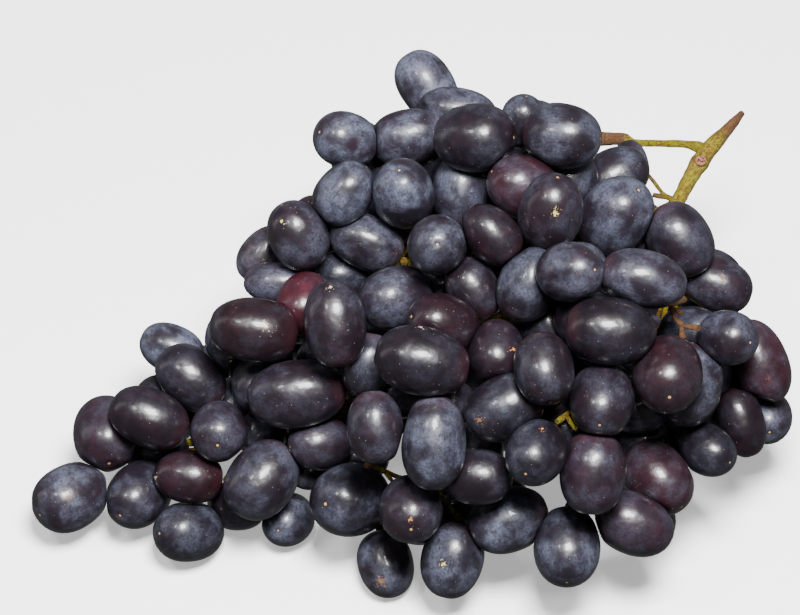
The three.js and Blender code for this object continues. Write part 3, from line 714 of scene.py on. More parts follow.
@dataclass
class Layout:
    """Where every grape and stem of the bunch lies."""

    seed: int = 20
    longest_move: float = 2  # in one round

    # How visible grapes settle along their sight lines
    visible_rounds: int = 250
    overlap_divisor: float = 4  # a round takes away an overlap divided by this
    gap_divisor: float = 3  # and closes a gap divided by this
    homing: float = 0.04  # the share of the way back to the lobes in a round
    gapless: float = 1.01  # grapes this close have no gap between them

    # How hidden grapes start and settle
    grid_layers: int = 6
    grid_rows: int = 6  # on either side of the middle row
    grid_columns: int = 7  # on either side of the middle column
    first_layer_height: float = 9.5
    place_scatter: float = 4
    axis_scatter: float = 0.8
    hidden_rounds: int = 80
    hidden_push: float = 0.25  # the share of an overlap with a hidden grape taken away
    visible_push: float = 0.5  # and with a visible one, which doesn't move
    most_overlap_at_first: float = 0.35  # with a visible grape, as a share
    most_overlap_settled: float = 0.2
    rim_spots: int = 8  # on a hidden grape's outline, all hidden by visible grapes
    cover_limit: float = 1.3  # square of how far such a grape's outline may be stretched

    regrouping_rounds: int = 6
    feet: int = 4  # steps along a piece of stem in which a pedicel may stand

    def __post_init__(self) -> None:
        """Lay out the stems, the visible grapes, the hidden ones behind them and the marks."""
        self.framework = {name: StemLine.read(places) for name, places in FRAMEWORK.items()}
        self.bare_stems = {name: StemLine.read(places) for name, places in BARE_STEMS.items()}
        self.visible = [
            Grape.from_reading(reading, cluster)
            for cluster, readings in VISIBLE.items()
            for reading in readings
        ]
        self._settle_visible()
        self.hidden = self._hidden_grapes()
        self.grapes = self.visible + self.hidden
        self._assign_clusters()
        self.marks = {id(self._front_grape(mark.px, mark.py)): mark for mark in MARKS}

    def _settle_visible(self) -> None:
        """Move the visible grapes along their sight lines until they touch but don't overlap.

        Of two that overlap, the one of the lower layer stays in front. Each grape also closes
        its narrowest gap, strays little from its first depth and stays over the table.
        """
        grapes = self.visible
        shapes = Shapes.of(grapes)
        start = np.array([grape.start for grape in grapes])
        along = np.array([grape.along for grape in grapes])
        layer = np.array([grape.reading.layer for grape in grapes])
        wanted = np.array([grape.depth for grape in grapes])
        lowest = shapes.half_height() - FLOOR_SINK
        depth = wanted.copy()
        itself = np.eye(len(grapes), dtype=bool)
        for _ in range(self.visible_rounds):
            distance, _, radii = apart(shapes, shapes)
            touch = CONTACT * radii
            behind = depth[None] - depth[:, None]
            order = np.sign(layer[None] - layer[:, None])
            order = np.where(order == 0, np.sign(behind), order)
            sideways = np.maximum(0, distance**2 - behind**2)
            wanting = np.sqrt(np.maximum(0, touch**2 - sideways)) - order * behind
            pressed = (distance < touch) & (wanting > 0) & ~itself
            backed = np.where(pressed, order * wanting, 0)
            moves = -np.sum(backed, axis=1) / self.overlap_divisor
            within = CONTACT * np.sqrt(sideways) < touch
            closing = np.where(within, -order * wanting, math.inf)
            closing = np.where(distance < touch * self.gapless, 0, closing)
            closing[itself] = math.inf
            nearest = closing[np.arange(len(grapes)), np.argmin(np.abs(closing), axis=1)]
            moves += np.where(np.isfinite(nearest), nearest, 0) / self.gap_divisor
            depth += np.clip(moves, -self.longest_move, self.longest_move)
            depth += self.homing * (wanted - depth)
            height = start[:, 2] + along[:, 2] * depth
            depth += np.maximum(0, lowest - height) / along[:, 2]
            shapes.centre = start + along * depth[:, None]
        for grape, centre, settled in zip(grapes, shapes.centre, depth):
            grape.centre = centre
            grape.depth = settled

    def _hidden_grapes(self) -> list[Grape]:
        """Fill the bunch behind the visible grapes.

        Returns:
            The hidden grapes, from a jittered close-packed grid that has settled.
        """
        draw = Draws(self.seed)
        rows = range(-self.grid_rows, self.grid_rows + 1)
        columns = range(-self.grid_columns, self.grid_columns + 1)
        cells = product(range(self.grid_layers), rows, columns)
        started = [self._grid_grape(draw, *cell) for cell in cells]
        found = [grape for grape in started if self._inside_lobes(grape.centre)]
        found = self._allowed(found, self.most_overlap_at_first)
        pieces = straight_pieces([*self.framework.values(), *self.bare_stems.values()])
        self._settle_hidden(found, pieces)
        _, depth = stem_overlaps(Shapes.of(found), pieces)
        clear = [grape for grape, deep in zip(found, depth) if deep.max() <= STEM_PRESS]
        return self._allowed(clear, self.most_overlap_settled)

    def _grid_grape(self, draw: Draws, layer: int, row: int, column: int) -> Grape:
        """Put a grape of drawn size and tilt near a place of a close-packed grid.

        Args:
            draw: Makes the draws.
            layer: The layer from the table.
            row: The row, 0 in the middle.
            column: The column, 0 in the middle.

        Returns:
            The grape, whose axis leans outwards from the middle of the bunch.
        """
        odd = layer & 1
        x = (column + (row & 1) / 2 + odd / 2) * HIDDEN_SPACING
        y = (row * math.sqrt(3 / 4) + odd * math.sqrt(1 / 12)) * HIDDEN_SPACING
        z = self.first_layer_height + layer * math.sqrt(2 / 3) * HIDDEN_SPACING
        scatter = [draw.scattered(self.place_scatter), draw.scattered(self.place_scatter), 0]
        centre = np.array([x, y, z]) + scatter
        half_width = draw.between(*HIDDEN_WIDTH) / 2
        elongation = draw.between(*HIDDEN_ELONGATION)
        axis = (centre - HEART) / np.linalg.norm(centre - HEART)
        axis = axis + [draw.scattered(self.axis_scatter) for _ in axis]
        axis = axis / np.linalg.norm(axis)
        return Grape(centre, axis, half_width * elongation, half_width)

    def _inside_lobes(self, point: np.ndarray) -> bool:
        """Say whether a point lies between the main body's middle and the lobes' surface."""
        shares = [np.linalg.norm((point - centre) / half) for centre, half in LOBES]
        return min(shares) <= 1 and shares[0] > HOLLOW_HEART

    def _allowed(self, grapes: list[Grape], most_overlap: float) -> list[Grape]:
        """Leave out the hidden grapes that would show or crowd a visible one.

        Args:
            grapes: The hidden grapes.
            most_overlap: The largest share by which one may overlap a visible grape.

        Returns:
            Those that stay.
        """
        shapes = Shapes.of(grapes)
        distance, _, radii = apart(shapes, Shapes.of(self.visible))
        crowded = (1 - distance / radii).max(axis=1) > most_overlap
        places = PICTURE.seen(shapes.centre)
        covers = PICTURE.seen(np.array([grape.centre for grape in self.visible]))
        turns = np.radians([grape.reading.turn for grape in self.visible])
        long_half = np.array([grape.reading.length for grape in self.visible]) / 2
        wide_half = np.array([grape.reading.width for grape in self.visible]) / 2
        kept = []
        for index, grape in enumerate(grapes):
            if crowded[index] or self._blocks_gap(places[index], grape.half_length):
                continue
            angles = np.arange(self.rim_spots) * math.tau / self.rim_spots
            around = np.stack([np.cos(angles), np.sin(angles)], -1) * grape.half_width
            spots = places[index, :2] + np.vstack([np.zeros((1, 2)), around])
            offset = spots[:, None] - covers[None, :, :2]
            long = offset[..., 0] * np.cos(turns) + offset[..., 1] * np.sin(turns)
            wide = offset[..., 1] * np.cos(turns) - offset[..., 0] * np.sin(turns)
            within = (long / long_half) ** 2 + (wide / wide_half) ** 2
            hiding = (within < self.cover_limit) & (covers[:, 2] < places[index, 2])
            if np.all(np.any(hiding, axis=1)):
                kept.append(grape)
        return kept

    def _blocks_gap(self, place: np.ndarray, half_length: float) -> bool:
        """Say whether a hidden grape would close a gap through which the table shows.

        Args:
            place: Where the grape shows, as its offset from the picture's centre.
            half_length: Half its length.

        Returns:
            Whether it covers a gap.
        """
        for px, py in GAPS:
            x = (px - PICTURE.centre_x) * PICTURE.mm_per_pixel
            y = (PICTURE.centre_y - py) * PICTURE.mm_per_pixel
            if math.hypot(place[0] - x, place[1] - y) < half_length + GAP_RADIUS:
                return True
        return False

    def _settle_hidden(self, grapes: list[Grape], pieces: Sequence[StemPiece]) -> None:
        """Let hidden grapes push each other while visible ones, stems and table push them.

        Args:
            grapes: The hidden grapes, which move.
            pieces: The straight pieces of stem.
        """
        hidden = Shapes.of(grapes)
        visible = Shapes.of(self.visible)
        hidden_share = np.full(len(grapes), self.hidden_push)
        share = np.append(hidden_share, np.full(len(self.visible), self.visible_push))
        for _ in range(self.hidden_rounds):
            everyone = hidden.followed_by(visible)
            distance, direction, radii = apart(hidden, everyone)
            touch = CONTACT * radii
            pressed = distance < touch
            pressed[:, : len(grapes)] &= ~np.eye(len(grapes), dtype=bool)
            push = np.where(pressed, share * (touch - distance), 0)
            moves = -np.sum(push[..., None] * direction, axis=1)
            way, depth = stem_overlaps(hidden, pieces)
            moves += np.sum(np.maximum(0, depth)[..., None] * way, axis=1)
            length = np.linalg.norm(moves, axis=1)
            moves *= np.minimum(1, self.longest_move / np.maximum(length, TINY))[:, None]
            hidden.centre = hidden.centre + moves
            lowest = hidden.half_height() - FLOOR_SINK
            hidden.centre[:, 2] = np.maximum(hidden.centre[:, 2], lowest)
        for grape, centre in zip(grapes, hidden.centre):
            grape.centre = centre

    def _assign_clusters(self) -> None:
        """Give each hidden grape to the cluster of the nearest visible one.

        Whatever doesn't reach the bulk of its cluster from grape to grape goes to a
        neighbour's.
        """
        others = [grape for grape in self.visible if grape.cluster != RED_CLUSTER]
        for grape in self.hidden:
            far = [np.linalg.norm(other.centre - grape.centre) for other in others]
            grape.cluster = others[int(np.argmin(far))].cluster
        shapes = Shapes.of(self.grapes)
        distance, _, radii = apart(shapes, shapes)
        close = 1 - distance / radii > NEAR
        np.fill_diagonal(close, False)
        neighbours = [list(np.flatnonzero(row)) for row in close]
        for _ in range(self.regrouping_rounds):
            for cluster in VISIBLE:
                for group in self._joined_groups(neighbours, cluster)[1:]:
                    self._pass_on(group, neighbours)

    def _pass_on(self, group: list[int], neighbours: list[list[int]]) -> None:
        """Give each grape of a group to the first other cluster that it touches.

        Args:
            group: The places of its grapes in the list of all.
            neighbours: For each grape the ones close to it.
        """
        for index in group:
            kept = {self.grapes[index].cluster, RED_CLUSTER}
            touched = [self.grapes[other].cluster for other in neighbours[index]]
            others = [cluster for cluster in touched if cluster not in kept]
            if others:
                self.grapes[index].cluster = others[0]

    def _joined_groups(self, neighbours: list[list[int]], cluster: str) -> list[list[int]]:
        """Find the groups of a cluster's grapes that lie together.

        Args:
            neighbours: For each grape the ones close to it.
            cluster: The cluster's name.

        Returns:
            The groups, largest first.
        """
        left = [at for at, grape in enumerate(self.grapes) if grape.cluster == cluster]
        groups = []
        while left:
            group = [left.pop(0)]
            for index in group:
                for other in neighbours[index]:
                    if other in left:
                        left.remove(other)
                        group.append(other)
            groups.append(group)
        return sorted(groups, key=len, reverse=True)

    def _front_grape(self, px: float, py: float) -> Grape:
        """Find the grape that shows at a pixel."""
        start, along = PICTURE.sight_line(px, py)
        return min(self.visible, key=lambda grape: grape.entered(start, along))

    def pedicel(self, at: int) -> tuple[np.ndarray, np.ndarray] | None:
        """Find the pedicel of a grape.

        It runs from just off the inner end straight to the nearest stem that no other grape
        stands in front of.

        Args:
            at: The grape's place in the list of all.

        Returns:
            The pedicel's ends at the grape and at the stem, or nothing where none is clear.
        """
        grape = self.grapes[at]
        shapes = Shapes.of(self.grapes)
        root = grape.centre - grape.axis * (grape.half_length * FACET_SWELL + PIECE_GAP)
        best = None
        shortest = LONGEST_PEDICEL
        for start, end, _ in straight_pieces(self.framework.values()):
            for step in range(self.feet + 1):
                foot = start + (end - start) * step / self.feet
                length = np.linalg.norm(foot - root)
                if length < shortest and self._is_clear(shapes, at, root, foot):
                    best = foot
                    shortest = length
        return None if best is None else (root, best)

    def _is_clear(self, shapes: Shapes, at: int, root: np.ndarray, foot: np.ndarray) -> bool:
        """Say whether no grape stands in the way of a pedicel.

        Args:
            shapes: The shapes of all grapes.
            at: The place in that list of the grape that it carries.
            root: Its end at the grape.
            foot: Its end at the stem.

        Returns:
            Whether it is clear.
        """
        way, depth = stem_overlaps(shapes, [(root, foot, PEDICEL_RADIUS)])
        own = shapes.reach(way)[at, 0] * (FACET_SWELL - 1) + PEDICEL_RADIUS + PIECE_GAP
        others = np.delete(depth[:, 0], at)
        return bool(depth[at, 0] <= own and np.all(others < 0))


class Bench:
    """The node tree of one material, with a short call for each kind of node."""

    def __init__(self, name: str) -> None:
        """Start an empty material."""
        self.material = bpy.data.materials.new(name)
        self.material.use_nodes = True
        self.tree = self.material.node_tree
        self.tree.nodes.clear()

    def node(self, kind: str, sockets: dict[int | str, Any], **settings: Any) -> Any:
        """Add a node.

        Args:
            kind: The node's type.
            sockets: For each input by name or number, a constant or the output to link.
            settings: Properties of the node itself.

        Returns:
            The node.
        """
        node = self.tree.nodes.new(kind)
        for name, value in settings.items():
            setattr(node, name, value)
        for key, value in sockets.items():
            if isinstance(value, bpy.types.NodeSocket):
                self.tree.links.new(value, node.inputs[key])
            else:
                node.inputs[key].default_value = value
        return node

    def attribute(self, name: str) -> Any:
        """Read one of the piece's own attributes."""
        return self.node("ShaderNodeAttribute", {}, attribute_name=name)

    def maths(self, operation: str, *values: Any) -> Any:
        """Work out a number from others."""
        inputs = dict(enumerate(values))
        return self.node("ShaderNodeMath", inputs, operation=operation).outputs[0]

    def vector(self, operation: str, *values: Any) -> Any:
        """Work out a vector from others, or the distance between two."""
        inputs = dict(enumerate(values))
        node = self.node("ShaderNodeVectorMath", inputs, operation=operation)
        return node.outputs["Value" if operation == "DISTANCE" else "Vector"]

    def times(self, *values: Any) -> Any:
        """Multiply numbers."""
        return reduce(lambda first, second: self.maths("MULTIPLY", first, second), values)

    def noise(self, place: Any, scale: float, detail: float = 2, distortion: float = 0) -> Any:
        """Add soft noise between 0 and 1."""
        inputs = {"Vector": place, "Scale": scale, "Detail": detail, "Distortion": distortion}
        return self.node("ShaderNodeTexNoise", inputs).outputs[0]

    def rise(self, value: Any, low: float, high: float, start: float = 0, end: float = 1) -> Any:
        """Turn a number into a soft step.

        Args:
            value: The number.
            low: Where the step begins.
            high: Where it ends.
            start: The result before the step.
            end: The result after it.

        Returns:
            The step's output.
        """
        inputs = {"Value": value, "From Min": low, "From Max": high, "To Min": start, "To Max": end}
        node = self.node("ShaderNodeMapRange", inputs, interpolation_type="SMOOTHSTEP")
        return node.outputs[0]

    def cells(self, place: Any, scale: float, axis: int, rarity: float, edge: float) -> Any:
        """Scatter small round specks, one in the middle of some of the cells.

        Args:
            place: Where to read the pattern.
            scale: How small the cells are.
            axis: Which of a cell's random numbers says whether it has a speck.
            rarity: The share of the cells without one.
            edge: How far from its cell's middle a speck reaches.

        Returns:
            The output, 1 on a speck.
        """
        cells = self.node("ShaderNodeTexVoronoi", {"Vector": place, "Scale": scale})
        random_numbers = self.node("ShaderNodeSeparateXYZ", {0: cells.outputs["Color"]})
        speck = self.rise(cells.outputs["Distance"], low=0.05, high=edge, start=1, end=0)
        chosen = self.maths("GREATER_THAN", random_numbers.outputs[axis], rarity)
        return self.times(speck, chosen)

    def blend(self, share: Any, first: Any, second: Any) -> Any:
        """Mix two colours by a share from 0 to 1."""
        inputs = {0: share, 6: first, 7: second}
        return self.node("ShaderNodeMix", inputs, data_type="RGBA").outputs[2]

    def relief(self, height: Any, strength: float, distance: float) -> Any:
        """Roughen the surface by a height, whose full measure is the distance in metres."""
        inputs = {"Height": height, "Strength": strength, "Distance": distance}
        return self.node("ShaderNodeBump", inputs).outputs[0]

    def finish(self, sockets: dict[int | str, Any]) -> bpy.types.Material:
        """Give the material its surface.

        Args:
            sockets: The surface's inputs by name.

        Returns:
            The material.
        """
        surface = self.node("ShaderNodeBsdfPrincipled", sockets)
        self.node("ShaderNodeOutputMaterial", {"Surface": surface.outputs[0]})
        return self.material


def colour(red: float, green: float, blue: float) -> LinearColour:
    """Make an opaque linear colour."""
    return (red, green, blue, 1)


@dataclass(frozen=True)
class GrapeSkin:
    """Taut dark skin under wax bloom, with pores, a stylar scar and healed marks.

    Lengths are in the skin's pattern, which is measured in centimetres.
    """

    name: str = "grape_skin"
    bloom_colour: LinearColour = colour(0.091, 0.101, 0.145)
    pore_colour: LinearColour = colour(0.16, 0.085, 0.05)
    fleck_colour: LinearColour = colour(0.30, 0.29, 0.28)
    scar_colour: LinearColour = colour(0.34, 0.22, 0.11)
    scar_rim: LinearColour = colour(0.02, 0.01, 0.008)
    stem_end_colour: LinearColour = colour(0.036, 0.011, 0.014)
    paler: tuple[float, float, float] = (1.75, 1.4, 1.45)  # times the skin's own colour
    scratch_stretch: tuple[float, float, float] = (9, 9, 1.1)
    pore_strength: float = 0.55
    fleck_strength: float = 0.5
    rim_strength: float = 0.8
    mark_strength: float = 0.85
    dimple_height: float = 0.05
    mark_height: float = 0.06
    gloss_roughness: float = 0.32
    bloom_roughness: float = 0.5
    mark_roughness: float = 0.3  # on top of the rest
    coat_weight: float = 0.17
    coat_roughness: float = 0.07
    refraction: float = 1.37

    def material(self) -> bpy.types.Material:
        """Build the material.

        Returns:
            The material, which reads the grapes' own attributes.
        """
        bench = Bench(self.name)
        unit = bench.attribute("unit_place").outputs["Vector"]
        place = bench.attribute("skin_place").outputs["Vector"]
        tint = bench.attribute("skin_tint")
        mark_tint = bench.attribute("mark_tint")
        base = self._ripened(bench, place, unit, tint.outputs["Color"])
        bloom = bench.times(self._bloom_cover(bench, place), tint.outputs["Alpha"])
        base = bench.blend(bloom, base, self.bloom_colour)
        pores = bench.cells(place, scale=4.2, axis=0, rarity=0.62, edge=0.11)
        base = bench.blend(bench.times(pores, self.pore_strength), base, self.pore_colour)
        flecks = bench.cells(place, scale=7.5, axis=1, rarity=0.8, edge=0.12)
        base = bench.blend(bench.times(flecks, self.fleck_strength), base, self.fleck_colour)
        base = self._scarred(bench, unit, base)
        mark = self._mark_cover(bench, place, mark_tint.outputs["Alpha"])
        marked = bench.times(mark, self.mark_strength)
        base = bench.blend(marked, base, mark_tint.outputs["Color"])
        roughnesses = {"start": self.gloss_roughness, "end": self.bloom_roughness}
        rough = bench.rise(bloom, low=0, high=0.8, **roughnesses)
        swells = bench.noise(place, scale=1.6, detail=2)
        dimples = bench.noise(place, scale=22, detail=3)
        height = bench.maths("ADD", swells, bench.times(dimples, self.dimple_height))
        height = bench.maths("ADD", height, bench.times(mark, self.mark_height))
        return bench.finish(
            {
                "Base Color": base,
                "Roughness": bench.maths("ADD", rough, bench.times(mark, self.mark_roughness)),
                "Normal": bench.relief(height, strength=0.35, distance=0.0012),
                "IOR": self.refraction,
                "Coat Weight": self.coat_weight,
                "Coat Roughness": self.coat_roughness,
            }
        )

    def _ripened(self, bench: Bench, place: Any, unit: Any, tint: Any) -> Any:
        """Mottle the skin all over, and make it warmer and paler where the grape sat on its stem.

        Args:
            bench: The node tree.
            place: The place in the skin's pattern.
            unit: The place on a ball of radius one.
            tint: The skin's own colour.

        Returns:
            The colour's output.
        """
        mottle = bench.rise(bench.noise(place, scale=2.4, detail=4), low=0.42, high=0.72)
        mottled = bench.blend(mottle, tint, bench.vector("MULTIPLY", tint, self.paler))
        axes = bench.node("ShaderNodeSeparateXYZ", {0: unit})
        stemward = bench.rise(axes.outputs[2], low=-0.6, high=-1.0, start=0, end=0.45)
        return bench.blend(stemward, mottled, self.stem_end_colour)

    def _bloom_cover(self, bench: Bench, place: Any) -> Any:
        """Lay bloom in clouds, with rubbed spots, fine grain and scratches.

        Args:
            bench: The node tree.
            place: The place in the skin's pattern.

        Returns:
            The output of how much of its bloom the skin has there.
        """
        stretched = bench.vector("MULTIPLY", place, self.scratch_stretch)
        cloud = bench.noise(place, scale=1.1, detail=3, distortion=0.2)
        rubbed = bench.noise(place, scale=3, detail=4)
        fine = bench.noise(place, scale=15, detail=4)
        scratches = bench.noise(stretched, scale=2.2, detail=2, distortion=0.3)
        cover = bench.times(
            bench.rise(cloud, low=0.36, high=0.66, start=0.08, end=1),
            bench.rise(rubbed, low=0.38, high=0.56, start=0.5, end=1),
            bench.rise(fine, low=0.3, high=0.65, start=0.5, end=1),
            bench.rise(scratches, low=0.32, high=0.42, start=0.5, end=1),
        )
        return bench.maths("ADD", bench.times(cover, 0.97), 0.03)

    def _scarred(self, bench: Bench, unit: Any, base: Any) -> Any:
        """Add the stylar scar at the outer end, pale with a dark rim.

        Args:
            bench: The node tree.
            unit: The place on a ball of radius one.
            base: The skin's colour.

        Returns:
            The colour's output.
        """
        axes = bench.node("ShaderNodeSeparateXYZ", {0: unit})
        squares = [bench.times(axes.outputs[side], axes.outputs[side]) for side in (0, 1)]
        from_pole = bench.maths("SQRT", bench.maths("ADD", *squares))
        outer = bench.maths("GREATER_THAN", axes.outputs[2], 0)
        rim = bench.times(bench.rise(from_pole, low=0.06, high=0.11, start=1, end=0), outer)
        rimmed = bench.blend(bench.times(rim, self.rim_strength), base, self.scar_rim)
        scar = bench.times(bench.rise(from_pole, low=0.03, high=0.055, start=1, end=0), outer)
        return bench.blend(scar, rimmed, self.scar_colour)

    def _mark_cover(self, bench: Bench, place: Any, radius: Any) -> Any:
        """Say where the healed mark is, ragged at its edge.

        Args:
            bench: The node tree.
            place: The place in the skin's pattern.
            radius: The mark's radius.

        Returns:
            The output, 1 on the mark.
        """
        mark_place = bench.attribute("mark_place").outputs["Vector"]
        grain = bench.noise(place, scale=16, detail=3)
        ragged = bench.rise(grain, low=0.3, high=0.65, start=0.45, end=2.4)
        far = bench.times(bench.vector("DISTANCE", place, mark_place), ragged)
        return bench.rise(bench.maths("SUBTRACT", radius, far), low=-0.01, high=0.04)


@dataclass(frozen=True)
class StemBark:
    """Fresh green stem with brown freckles, drying to grooved brown wood."""

    name: str = "stem_bark"
    green: LinearColour = colour(0.172, 0.176, 0.002)
    dull_green: LinearColour = colour(0.125, 0.055, 0.006)
    wood: LinearColour = colour(0.135, 0.060, 0.023)
    dark_wood: LinearColour = colour(0.026, 0.010, 0.005)
    freckle: LinearColour = colour(0.060, 0.018, 0.004)
    torn: LinearColour = colour(0.34, 0.145, 0.09)
    grain_stretch: tuple[float, float, float] = (9, 9, 0.9)
    streak_stretch: tuple[float, float, float] = (2.5, 2.5, 0.4)
    patchiness: float = 0.5  # how unevenly the stem dries
    freckle_strength: float = 0.8
    freckled_by_age: float = 0.2
    freckled_in_patches: float = 0.25
    spot_height: float = 0.3
    fresh_roughness: float = 0.5
    dry_roughness: float = 0.85
    refraction: float = 1.35

    def material(self) -> bpy.types.Material:
        """Build the material.

        Returns:
            The material, which reads the stem's age and its run along and round itself.
        """
        bench = Bench(self.name)
        age = bench.attribute("stem_age").outputs["Fac"]
        run = bench.attribute("stem_run").outputs["Vector"]
        place = bench.node("ShaderNodeTexCoord", {}).outputs["Object"]
        broad = bench.noise(place, scale=130, detail=3)
        spots = bench.noise(place, scale=1300, detail=3)
        lengthwise = bench.vector("MULTIPLY", run, self.grain_stretch)
        grain = bench.noise(lengthwise, scale=1.6, detail=4, distortion=0.4)

        green = self._freckled_green(bench, age, run, broad, spots)
        wood = bench.blend(bench.rise(grain, low=0.35, high=0.62), self.dark_wood, self.wood)
        uneven = bench.times(bench.maths("SUBTRACT", broad, 0.5), self.patchiness)
        dried = bench.rise(bench.maths("ADD", age, uneven), low=0.35, high=0.8)
        base = bench.blend(dried, green, wood)
        torn = bench.blend(bench.rise(spots, low=0.45, high=0.6), self.torn, self.dark_wood)
        base = bench.blend(bench.rise(age, low=1.05, high=1.3), base, torn)
        height = bench.maths("ADD", grain, bench.times(spots, self.spot_height))
        return bench.finish(
            {
                "Base Color": base,
                "Roughness": bench.rise(dried, 0, 1, self.fresh_roughness, self.dry_roughness),
                "Normal": bench.relief(height, strength=0.8, distance=0.0008),
                "IOR": self.refraction,
            }
        )

    def _freckled_green(self, bench: Bench, age: Any, run: Any, broad: Any, spots: Any) -> Any:
        """Colour the fresh stem, with dull streaks along it and more freckles where it is older.

        Args:
            bench: The node tree.
            age: How far the stem has dried.
            run: The place along and round the stem.
            broad: Broad noise.
            spots: Fine noise.

        Returns:
            The colour's output.
        """
        stretched = bench.vector("MULTIPLY", run, self.streak_stretch)
        streaks = bench.noise(stretched, scale=1.2, detail=3)
        patchy = bench.rise(broad, low=0.25, high=0.6, start=0.35, end=1)
        dull = bench.times(patchy, bench.rise(streaks, low=0.36, high=0.6))
        green = bench.blend(dull, self.green, self.dull_green)
        spotted = bench.maths("ADD", spots, bench.times(age, self.freckled_by_age))
        spotted = bench.maths("ADD", spotted, bench.times(broad, self.freckled_in_patches))
        freckled = bench.rise(spotted, low=0.66, high=0.78)
        return bench.blend(bench.times(freckled, self.freckle_strength), green, self.freckle)


@dataclass(frozen=True)
class TableTop:
    """A matt white table, lit a little from below like a light table."""

    name: str = "table_top"
    paint: LinearColour = colour(0.95, 0.95, 0.95)
    cloudy: LinearColour = colour(0.90, 0.90, 0.90)
    roughness: float = 0.55
    glow: float = 0.45

    def material(self) -> bpy.types.Material:
        """Build the material.

        Returns:
            The material.
        """
        bench = Bench(self.name)
        place = bench.node("ShaderNodeTexCoord", {}).outputs["Object"]
        cloud = bench.rise(bench.noise(place, scale=3), low=0.3, high=0.7, start=0, end=0.25)
        return bench.finish(
            {
                "Base Color": bench.blend(cloud, self.paint, self.cloudy),
                "Roughness": self.roughness,
                "Emission Color": self.paint,
                "Emission Strength": self.glow,
            }
        )


def deselect_all() -> None:
    """Leave nothing selected, because an operator acts on all that is."""
    bpy.ops.object.select_all(action="DESELECT")


def select_faces(piece: bpy.types.Object, chosen: Callable[[Vector], bool]) -> None:
    """Select faces of a piece by their middle and stay in edit mode.

    Args:
        piece: The piece, which is active.
        chosen: Says of a face's middle whether the face is selected.
    """
    bpy.ops.object.mode_set(mode="EDIT")
    bpy.ops.mesh.select_mode(type="FACE")
    bpy.ops.mesh.select_all(action="DESELECT")
    bpy.ops.object.mode_set(mode="OBJECT")
    for face in piece.data.polygons:
        face.select = chosen(face.center)
    bpy.ops.object.mode_set(mode="EDIT")


def in_metres(places: np.ndarray) -> np.ndarray:
    """Turn the layout's millimetres into the scene's metres about the footprint's middle."""
    return (places - FOOTPRINT_MIDDLE) * MM


def beside(way: np.ndarray) -> np.ndarray:
    """Find a unit direction square to another one, level where that can be."""
    side = np.cross(way, UP)
    if np.linalg.norm(side) < NEARLY_UPRIGHT:
        side = np.cross(way, RIGHT)
    return side / np.linalg.norm(side)


def corners_of(piece: bpy.types.Object) -> np.ndarray:
    """Read a piece's corners, one a row."""
    flat = np.empty(len(piece.data.vertices) * 3)
    piece.data.vertices.foreach_get("co", flat)
    return flat.reshape(-1, 3)


def set_corners(piece: bpy.types.Object, corners: np.ndarray) -> None:
    """Move a piece's corners."""
    piece.data.vertices.foreach_set("co", corners.ravel())
    piece.data.update()


def store(piece: bpy.types.Object, name: str, kind: str, values: np.ndarray) -> None:
    """Keep a value for each corner of a piece.

    Args:
        piece: The piece.
        name: The attribute's name.
        kind: FLOAT, FLOAT_VECTOR or FLOAT_COLOR.
        values: The values, one row a corner.
    """
    layer = piece.data.attributes.new(name, kind, "POINT")
    member = {"FLOAT": "value", "FLOAT_VECTOR": "vector", "FLOAT_COLOR": "color"}[kind]
    layer.data.foreach_set(member, np.ascontiguousarray(values, dtype=np.float32).ravel())


def copy_of(mould: bpy.types.Object) -> bpy.types.Object:
    """Copy a mould with a mesh of its own."""
    piece = mould.copy()
    piece.data = mould.data.copy()
    bpy.context.collection.objects.link(piece)
    return piece


def join(parts: Sequence[bpy.types.Object], name: str) -> bpy.types.Object:
    """Join parts into one piece.

    Args:
        parts: The parts.
        name: The piece's name.

    Returns:
        The piece.
    """
    deselect_all()
    for part in parts:
        part.select_set(True)
    bpy.context.view_layer.objects.active = parts[0]
    bpy.ops.object.join()
    piece = bpy.context.object
    piece.name = name
    piece.data.name = name
    return piece


def apply_levels(piece: bpy.types.Object, levels: int) -> None:
    """Round a piece with applied subdivision.

    Args:
        piece: The piece, which is active.
        levels: How many times its faces are split.
    """
    rounding = piece.modifiers.new("rounding", "SUBSURF")
    rounding.levels = levels
    rounding.render_levels = levels
    bpy.ops.object.modifier_apply(modifier=rounding.name)


